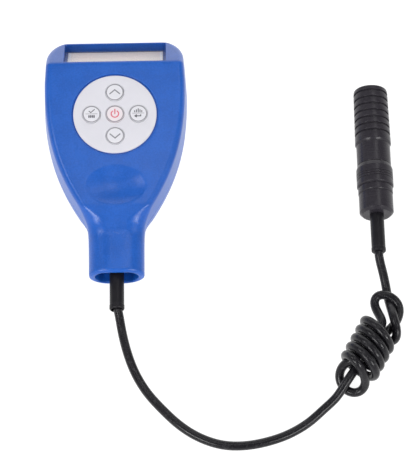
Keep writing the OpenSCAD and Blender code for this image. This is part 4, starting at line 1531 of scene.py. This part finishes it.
@dataclass
class Probe:
    """Black turned probe: ribbed grip, barrel, collar, tail cap, and the sprung sensor core."""

    tip: Point2 = (116.5, 31.4)
    axis_height: float = 8.25
    grip_tail: float = 8.15
    grip_tip: float = 7.75
    grip: float = 28.0
    groove_count: int = 7
    groove_pitch: float = 3.4
    groove_first: float = 2.6
    groove_half: float = 0.52
    groove_depth: float = 0.62
    notch: tuple[Point2, ...] = ((-2.3, 0.4), (2.3, 0.4), (0, -1.5))
    barrel_radius: float = 7.65
    barrel: float = 10.2
    barrel_bore: float = 2.5
    collar_radius: float = 8.25
    collar: float = 10.6
    collar_cone: float = 2.1
    collar_grooves: Point3 = (5.0, 6.2, 7.4)
    band: float = 3.7
    tail: float = 9.7
    tail_bore: float = 4.7
    tail_hole: float = 2.8
    spigot: float = 6.1
    socket: float = 7.5
    play: float = 0.1
    nose_bore: float = 4.1
    nose_wall: float = 2.4
    core_bore: float = 5.1
    core_end: float = 13.05
    core_nose: float = -1.3
    pole_radius: float = 1.5
    pole_end: float = 11.0
    spring_radius: float = 4.4
    spring_wire: float = 0.35
    retract: float = 1.2
    segments: int = 128
    sharp: float = 28.0

    @property
    def place(self) -> Matrix:
        """Frame on the axis, Z from the tip towards the tail."""
        return moved(*self.tip, self.axis_height) @ turned(90, "X")

    @property
    def collar_at(self) -> float:
        """Start of the collar along the axis."""
        return self.grip + self.barrel

    @property
    def band_at(self) -> float:
        """Start of the narrower band behind the collar."""
        return self.collar_at + self.collar

    @property
    def tail_at(self) -> float:
        """Start of the tail cap."""
        return self.band_at + self.band

    @property
    def length(self) -> float:
        """Length from the tip face to the tail face."""
        return self.tail_at + self.tail

    def grip_radius(self, z: float) -> float:
        """Return the grip's radius at a height."""
        return self.grip_tip + (self.grip_tail - self.grip_tip) * z / self.grip

    def _turned(self, node: str, corners: Sequence[Point3], steps: int = 5) -> None:
        """Turn a closed profile of corners with fillets as one black piece."""
        mesh = lathe(filleted([*corners, corners[0]], steps), self.place, self.segments)
        piece_of(f"{node}_turned", mesh, PROBE_BLACK, [node], sharp=self.sharp)

    def _grip(self) -> None:
        """Make the grip's core and set its lands on it."""
        near, end = self.groove_first, self.grip
        far = near + self.groove_pitch * (self.groove_count - 1)
        floor, inside = self.groove_depth, end - self.socket
        first, last, wide = (self.grip_radius(z) for z in (near, far, end))
        core = filleted([
            (self.nose_bore, 0, 0.1), (self.grip_radius(0) - 0.15, 0, 0.75),
            (first, near - 0.55, 0.18), (first - floor, near - 0.5, 0),
            (last - floor, far + 0.5, 0), (last, far + 0.55, 0.18),
            (wide, end - 0.9, 0.2), (wide - 0.75, end, 0.15),
            (self.spigot + 0.05, end, 0), (self.spigot + 0.05, inside, 0),
            (self.core_bore, inside, 0), (self.core_bore, self.nose_wall, 0),
            (self.nose_bore, self.nose_wall, 0), (self.nose_bore, 0, 0),
        ])
        notch = prism(self.notch, -12, 12, self.place @ turned(90, "Y") @ turned(90, "Z"))
        body = worked(lathe(core, self.place, self.segments), [(Cut.AWAY, notch)])
        piece_of("probe_grip_core", body, PROBE_BLACK, ["probe_grip"], sharp=self.sharp)
        self._lands()

    def _lands(self) -> None:
        """Repeat the lands between the grooves along the grip."""
        half, pitch = self.groove_pitch / 2 - self.groove_half, self.groove_pitch
        middle = self.groove_first + pitch / 2
        r = self.grip_radius(middle)
        foot = r - self.groove_depth - 0.2
        profile = filleted([
            (foot, -half, 0), (r, -half, 0.2), (r, half, 0.2), (foot, half, 0), (foot, -half, 0)])
        g = ShapeGraph("grip_lands", {
            "Count": self.groove_count - 1, "Pitch": pitch * MM, "First": middle * MM,
            "Growth": (self.grip_tail - self.grip_tip) / self.grip * pitch / r,
            "Finish": PAINT(PROBE_BLACK),
        })
        row = g.row(g.vector(0.0, 0.0, g["First"]), g.vector(0.0, 0.0, g["Pitch"]))
        size = 1 + g.add("GeometryNodeInputIndex") * g["Growth"]
        g.repeat(row, g.shape(lathe(profile, segments=self.segments)), g.vector(size, size, 1.0))
        made = g.mesh("lands")
        made.transform(in_metres(self.place))
        piece_of("probe_grip_lands", made, PROBE_BLACK, sharp=self.sharp)

    def _body(self) -> None:
        """Make the barrel, the collar with its fine grooves, and the tail cap."""
        a, b, c, d, end = self.grip, self.collar_at, self.band_at, self.tail_at, self.length
        fit, play, hole = self.spigot, self.play, self.barrel_bore
        r, rim = self.collar_radius, self.barrel_radius
        self._turned("probe_barrel", [
            (hole, a - 7.3, 0), (fit, a - 7.3, 0.2), (fit, a + play, 0),
            (rim - 0.1, a + play, 0.1), (rim, a + 0.5, 0.1), (rim, b - 0.12, 0.12), (fit, b, 0),
            (fit, b + 6, 0.2), (hole, b + 6, 0),
        ])
        fine = [
            (r - deep, b + at + off, 0.06)
            for at in self.collar_grooves
            for deep, off in ((0, -0.28), (0.3, -0.1), (0.3, 0.1), (0, 0.28))
        ]
        self._turned("probe_collar", [
            (fit + 0.05, b + play, 0), (rim, b + play, 0.12), (r, b + self.collar_cone, 0.3), *fine,
            (r, c - 0.45, 0.15), (r - 0.45, c, 0.1), (rim - 0.25, c + play, 0.05),
            (rim - 0.25, c + 0.5, 0.05), (rim + 0.15, c + 0.75, 0.12), (rim + 0.15, d - 0.5, 0.2),
            (rim - 0.3, d, 0.1), (fit + 0.05, d, 0),
        ], 4)
        wide, hole = self.tail_bore, self.tail_hole
        self._turned("probe_tail", [
            (wide, d - 5.8, 0), (fit, d - 5.8, 0.2), (fit, d + play, 0),
            (rim - 0.15, d + play, 0.1), (rim, d + 0.35, 0.1), (rim, end - 1.15, 0.25),
            (rim - 1.15, end, 0.2), (hole, end, 0.2), (hole, d + 2.5, 0), (wide, d + 2.5, 0),
        ])

    def _sensor(self) -> None:
        """Make the sliding core with its rounded nose, and the hard pole in it."""
        r, nose, end = self.pole_radius, self.core_nose, self.core_end
        hole = r + 0.06
        core = filleted([
            (hole, nose, 0.1), (4.0, nose, 0.45), (4.0, 2.45, 0), (5.0, 2.45, 0.2), (5.0, end, 0.2),
            (3.85, end, 0), (3.85, 4.05, 0), (hole, 4.05, 0), (hole, nose, 0),
        ])
        turned_core = lathe(core, self.place)
        piece_of("sensor_core_turned", turned_core, STEEL, ["sensor_core"], "sensor")
        dome = [(r * math.sin(a), -r * math.cos(a)) for a in quarter(10)]
        pole = lathe([*dome, (r, self.pole_end), (0.0, self.pole_end)], self.place, 64)
        piece_of("sensor_pole_turned", pole, HARD_CHROME, ["sensor_pole"], "sensor")

    def _spring(self) -> None:
        """Wind the return spring behind the core at its rest length."""
        foot, seat = self.core_end + 0.08, self.grip - 7.35
        long, wire = seat - foot, self.spring_wire
        radii = (self.spring_radius, self.spring_radius)
        at_foot = self.place @ moved(0, 0, foot + wire)
        coil = wound("return_spring", radii, long - 2 * wire, wire, at_foot)
        piece = piece_of("sensor_spring", coil, STEEL, ["core_spring"])
        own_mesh(piece)

    def build(self) -> None:
        """Make the probe."""
        self._grip()
        self._body()
        self._sensor()
        self._spring()


# Cable


@dataclass
class Cable:
    """Black cable from the neck to a wound knot and on to the probe, with a boot at each end."""

    housing: Housing
    probe: Probe
    diameter: float = 4.0
    boot_length: float = 15.4
    boot_radius: float = 3.22
    probe_boot_length: float = 18.3
    probe_boot_radius: float = 3.12
    boot_flange: float = 4.6
    boot_waist: float = 2.7
    boot_bead: float = 0.12
    knot_low: Point2 = (103.3, -107.7)
    knot_turn: float = 60.7
    knot_height: float = 10.0
    ring_radius: float = 8.0
    ring_pitch: float = 4.6
    ring_tilt: float = 2.0
    ring_top: float = 22.1
    ring_turns: Point2 = (4.12, -0.36)
    ring_steps: int = 16
    spacing: float = 0.9
    sides: int = 28
    smoothing: int = 14

    def _knot(self, s: float, q: float, z: float) -> Point3:
        """Return the place of a point given along, across and above the knot's axis."""
        c, d = math.cos(math.radians(self.knot_turn)), math.sin(math.radians(self.knot_turn))
        return (self.knot_low[0] + s * c + q * d, self.knot_low[1] + s * d - q * c, z)

    def _ring(self, turn: float) -> Point3:
        """Return a point of the winding at a number of turns from its top left."""
        c, r = math.cos(TAU * turn), self.ring_radius
        along = self.ring_top - self.ring_pitch * turn + self.ring_tilt * c
        return self._knot(along, -r * c, self.knot_height + r * math.sin(TAU * turn))

    def _points(self) -> list[Point3]:
        """Return the route: run, core, top bight, core, bottom bight, winding, tail."""
        split, r = self.housing.split, self.diameter / 2
        start = self.housing.near_end - self.boot_length
        run = [
            (0, start + 3, split), (0.1, start + 1.5, split), (0.4, start, split),
            (0.85, start - 2, split), (1.2, -78.4, 7.3), (2.2, -84.7, 6.0), (4.2, -92.9, 3.9),
            (7.4, -101.9, 2.6), (12.5, -111.1, r), (19.2, -119.3, r), (26.6, -126.8, r),
            (34.6, -132.4, r), (44.9, -136.3, r), (55.2, -136.8, r), (65.6, -134.9, r),
            (74.0, -131.9, r), (82.6, -126.9, r + 0.2), (89, -121.5, r + 1.2), (95.3, -116.1, 4.6),
            (96.9, -113.9, 5.6), (98.6, -111.5, 6.4),
        ]
        up = [self._knot(*p) for p in (
            (-1.2, -1.8, 7.6), (3.0, -1.2, 8.1), (10.0, -1.8, 8.0), (16.0, -1.5, 9.5),
            (22.0, -0.5, 11.2), (26.1, 0.6, 11.2),
        )]
        top = [
            (115.9, -81.9, 10.2), (114.2, -77.9, 9.0), (113.0, -74.1, 8.4), (113.4, -71.1, 8.9),
            (115.5, -70.0, 9.8), (118.2, -70.5, 10.3), (121.1, -71.7, 10.0), (123.4, -73.5, 9.0),
            (124.5, -75.8, 8.0), (124.4, -78.2, 7.5), (123.4, -81.0, 7.2),
        ]
        down = [self._knot(*p) for p in (
            (30.7, 4.5, 7.3), (28.0, 3.9, 7.7), (22.5, 2.4, 8.1), (16.5, 2.4, 10.0),
            (10.0, 1.2, 11.2), (5.8, -2.2, 12.1),
        )]
        low = [
            (100.9, -101.9, 11.0), (98.9, -102.3, 8.8), (97.1, -103.8, 6.2), (96.5, -106.1, 4.0),
            (97.0, -108.7, 2.5), (98.3, -111.0, r), (100.6, -113.0, r), (103.8, -113.8, r),
            (106.3, -113.0, 3.0), (107.8, -111.3, 5.5), (107.6, -109.8, 9.0), (106.3, -107.9, 13.0),
            (104.8, -106.0, 16.2), (102.5, -103.7, 17.6),
        ]
        first, last = self.ring_turns
        count = int((first - last) * self.ring_steps) + 1
        winding = [self._ring(first - k / self.ring_steps) for k in range(count)]
        end = self.probe.tip[1] - self.probe.length - self.probe_boot_length
        x, z = self.probe.tip[0], self.probe.axis_height
        tail = [
            (121.9, -91.4, 7.8), (122.5, -89.0, 10.1), (122.0, -86.5, 11.7), (121.3, -83.5, 12.2),
            (120.8, -79.5, 10.8), (120.0, -74.3, 8.2), (119.4, -69.0, 6.2), (118.8, -63.5, 6.4),
            (117.6, -57.0, 7.4), (x, end - 3, z), (x, end - 1.5, z), (x, end, z),
        ]
        return [*run, *up, *top, *down, *low, *winding, *tail]

    def route(self) -> np.ndarray:
        """Return the smooth centreline, in metres, at even steps: one row for each point."""
        knots = np.array(self._points(), float)
        gaps = np.sqrt(np.linalg.norm(np.diff(knots, axis=0), axis=1))
        times = np.concatenate([[0.0], np.cumsum(gaps)])
        slopes = np.gradient(knots, times, axis=0)
        line = []
        for i in range(len(knots) - 1):
            span = times[i + 1] - times[i]
            for t in np.linspace(0, 1, 12, endpoint=False):
                line.append(
                    (2 * t**3 - 3 * t**2 + 1) * knots[i]
                    + (t**3 - 2 * t**2 + t) * span * slopes[i]
                    + (3 * t**2 - 2 * t**3) * knots[i + 1]
                    + (t**3 - t**2) * span * slopes[i + 1]
                )
        line.append(knots[-1])
        even = self._evened(np.array(line))
        for _ in range(self.smoothing):
            even[3:-3] = even[3:-3] * 0.5 + (even[2:-4] + even[4:-2]) * 0.25
        return self._evened(even) * MM

    def _evened(self, line: np.ndarray) -> np.ndarray:
        """Return points at even steps along a line."""
        steps = np.linalg.norm(np.diff(line, axis=0), axis=1)
        far = np.concatenate([[0.0], np.cumsum(steps)])
        at = np.linspace(0, far[-1], int(far[-1] / self.spacing) + 1)
        return np.stack([np.interp(at, far, line[:, k]) for k in range(3)], axis=1)

    def _sheath(self, route: np.ndarray) -> Mesh:
        """Sweep the cable's round section along its route."""
        curve = bpy.data.curves.new("cable_line", "CURVE")
        curve.dimensions = "3D"
        spline = curve.splines.new("POLY")
        spline.points.add(len(route) - 1)
        spline.points.foreach_set("co", np.hstack([route, np.ones((len(route), 1))]).ravel())
        g = ShapeGraph("cable_sheath", {
            "Radius": (self.diameter / 2 - 0.02) * MM, "Sides": self.sides,
            "Finish": PAINT(CABLE_BLACK),
        })
        g.close(g.rod(g["Geometry"], g["Radius"], g["Sides"]))
        return tidy_mesh(g.mesh("cable", curve))

    def _boots(self) -> None:
        """Make the sleeves at the housing and at the probe."""
        r, wire, end = self.boot_radius, self.diameter / 2 + 0.03, self.boot_length
        wide, thin, bead = self.boot_flange, self.boot_waist, self.boot_bead
        sleeve = filleted([
            (wire, -11.1, 0), (wide, -11.1, 0.3), (wide, -9.6, 0.3), (thin, -9.5, 0),
            (thin, -6.95, 0), (r, -6.9, 0.2), (r, end - 2.4, 0.3), (r + bead, end - 2.1, 0.2),
            (r + bead, end - 0.5, 0.3), (r - 0.3, end, 0.2), (thin, end, 0.1), (wire, end - 4, 0),
            (wire, -11.1, 0),
        ])
        mesh = lathe(sleeve, self.housing.on_neck, 72)
        piece_of("body_boot_sleeve", mesh, BOOT_BLACK, ["body_boot"])
        p, r = self.probe, self.probe_boot_radius
        low, at, end = p.tail_at + 0.9, p.length, p.length + self.probe_boot_length
        sleeve = filleted([
            (wire, low, 0), (wide, low, 0.3), (wide, low + 1.5, 0.3), (thin, low + 1.55, 0),
            (thin, at, 0), (r, at + 0.05, 0.15), (r, end - 2.2, 0.3), (r + bead, end - 1.9, 0.2),
            (r + bead, end - 0.5, 0.3), (r - 0.4, end, 0.2), (wire, end, 0), (wire, low, 0),
        ])
        piece_of("probe_boot_sleeve", lathe(sleeve, p.place, 72), BOOT_BLACK, ["probe_boot"])

    def build(self) -> None:
        self._boots()
        route = self.route()
        nodes = ["cable_run", "cable_hank", "cable_tail"]
        piece = piece_of("probe_cable", self._sheath(route), CABLE_BLACK, nodes, sharp=60)


# Inside and studio


@dataclass
class Interior:
    """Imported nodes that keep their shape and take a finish."""

    finishes: dict[str, Finish] = field(default_factory=lambda: {
        "display_carrier": INNER_BLACK, "display_strip": SILICONE, "key_switches": INNER_BLACK,
        "main_board": BOARD_GREEN, "board_chips": INNER_BLACK, "cable_header": IVORY,
        "board_screws": STEEL, "battery_contacts": STEEL, "sensor_winding": COPPER,
    })

    def build(self) -> None:
        """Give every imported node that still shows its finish."""
        for name, finish in self.finishes.items():
            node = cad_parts[name]
            node.data.materials.clear()
            node.data.materials.append(PAINT(finish))
            LOG.info("%s: dressed in %s", name, finish.name)


@dataclass(frozen=True)
class SoftBox:
    """One soft box that faces the object: place and sides in metres, and its radiance."""

    name: str
    place: Point3
    width: float
    height: float
    radiance: float
    aim: Point3 = (0.04, -0.03, 0.02)

    def hang(self) -> None:
        """Hang the lamp in its place."""
        data = bpy.data.lights.new(self.name, "AREA")
        data.shape = "RECTANGLE"
        data.size, data.size_y = self.width, self.height
        data.energy = self.radiance * math.pi * self.width * self.height
        lamp = linked(self.name, data)
        lamp.location = self.place
        lamp.rotation_mode = "QUATERNION"
        towards = Vector(self.aim) - Vector(self.place)
        lamp.rotation_quaternion = towards.to_track_quat("-Z", "Y")


@dataclass
class Studio:
    """White table, soft light all round and the photograph's camera."""

    target: Point3 = (40.6, -36.35, 8.0)
    distance: float = 1100.0
    tilt: float = 25.0
    yaw: float = -1.15
    pixels_per_mm: float = 2.24
    image_height: int = 459
    sensor: float = 36.0
    floor_size: float = 6.0
    horizon: float = 0.75
    zenith: float = 0.2
    sky_low: float = 0.15
    sky_rise: float = 2.8
    boxes: tuple[SoftBox, ...] = (
        SoftBox("front_left", (-0.58, -0.86, 0.74), 0.56, 0.26, 15.0),
        SoftBox("front_right", (0.72, -0.84, 0.72), 0.52, 0.26, 14.0),
        SoftBox("left", (-0.68, 0.08, 0.98), 0.26, 0.36, 8.0),
        SoftBox("right_strip", (0.86, -0.08, 0.90), 0.24, 0.56, 3.0),
        SoftBox("back_right", (0.42, 0.48, 1.02), 0.32, 0.32, 2.4),
        SoftBox("back", (0.05, 1.0, 0.5), 1.2, 0.6, 1.3),
        SoftBox("overhead", (0.08, 0.22, 1.12), 0.30, 0.26, 2.4),
        SoftBox("sheen", (0.006, 0.049, 0.32), 0.05, 0.06, 1.9, (0.0, -0.03, 0.02)),
        SoftBox("low_sheen", (0.0, -0.15, 0.45), 0.08, 0.10, 2.2, (0.0, -0.05, 0.02)),
    )

    def _floor(self) -> None:
        """Lay the table under the object."""
        half = self.floor_size / 2
        corners = [(-half, -half, 0), (half, -half, 0), (half, half, 0), (-half, half, 0)]
        mesh = bpy.data.meshes.new("table")
        mesh.from_pydata(corners, [], [(0, 1, 2, 3)])
        mesh.materials.append(PAINT(PAPER_WHITE))
        linked("table", mesh)

    def _sky(self) -> None:
        """Let the surroundings glow, brightest at the horizon."""
        world = bpy.data.worlds.new("studio")
        world.use_nodes = True
        g = Graph(world.node_tree)
        _, _, up = g.parts(g.add("ShaderNodeTexCoord", None, "Generated"))
        high = ((up - self.sky_low) * self.sky_rise).unit().eased()
        glow = self.horizon + (self.zenith - self.horizon) * high
        sockets = {"Color": (1.0, 1.0, 1.0, 1.0), "Strength": glow}
        g.node("ShaderNodeOutputWorld", {"Surface": g.add("ShaderNodeBackground", sockets)})
        bpy.context.scene.world = world

    def _camera(self) -> None:
        """Set the camera as the photograph was taken."""
        t, yaw = math.radians(self.tilt), math.radians(self.yaw)
        back = Vector((math.sin(yaw) * math.sin(t), -math.cos(yaw) * math.sin(t), math.cos(t)))
        right = Vector((math.cos(yaw), math.sin(yaw), 0))
        up = back.cross(right)
        eye = (Vector(self.target) + back * self.distance) * MM
        data = bpy.data.cameras.new("camera")
        data.sensor_width = self.sensor
        data.lens = self.pixels_per_mm * self.distance * self.sensor / self.image_height
        data.clip_end = 50
        camera = linked("camera", data)
        turn = Matrix((right, up, back)).transposed().to_4x4()
        camera.matrix_world = Matrix.Translation(eye) @ turn
        bpy.context.scene.camera = camera

    def build(self) -> None:
        """Make the floor, the light and the camera."""
        self._floor()
        self._sky()
        for box in self.boxes:
            box.hang()
        self._camera()
        bpy.context.scene.view_settings.view_transform = "Standard"


def main() -> None:
    """Build every sub-assembly in order, logging each one."""
    logging.basicConfig(level=logging.INFO, format="%(message)s")
    housing, probe = Housing(), Probe()
    parts = [
        Studio(), Cable(housing, probe), housing, Keypad(housing), Display(housing),
        BatterySide(housing), probe, Interior(),
    ]
    for part in parts:
        LOG.info("building %s", type(part).__name__)
        part.build()


if __name__ == "__main__":
    main()
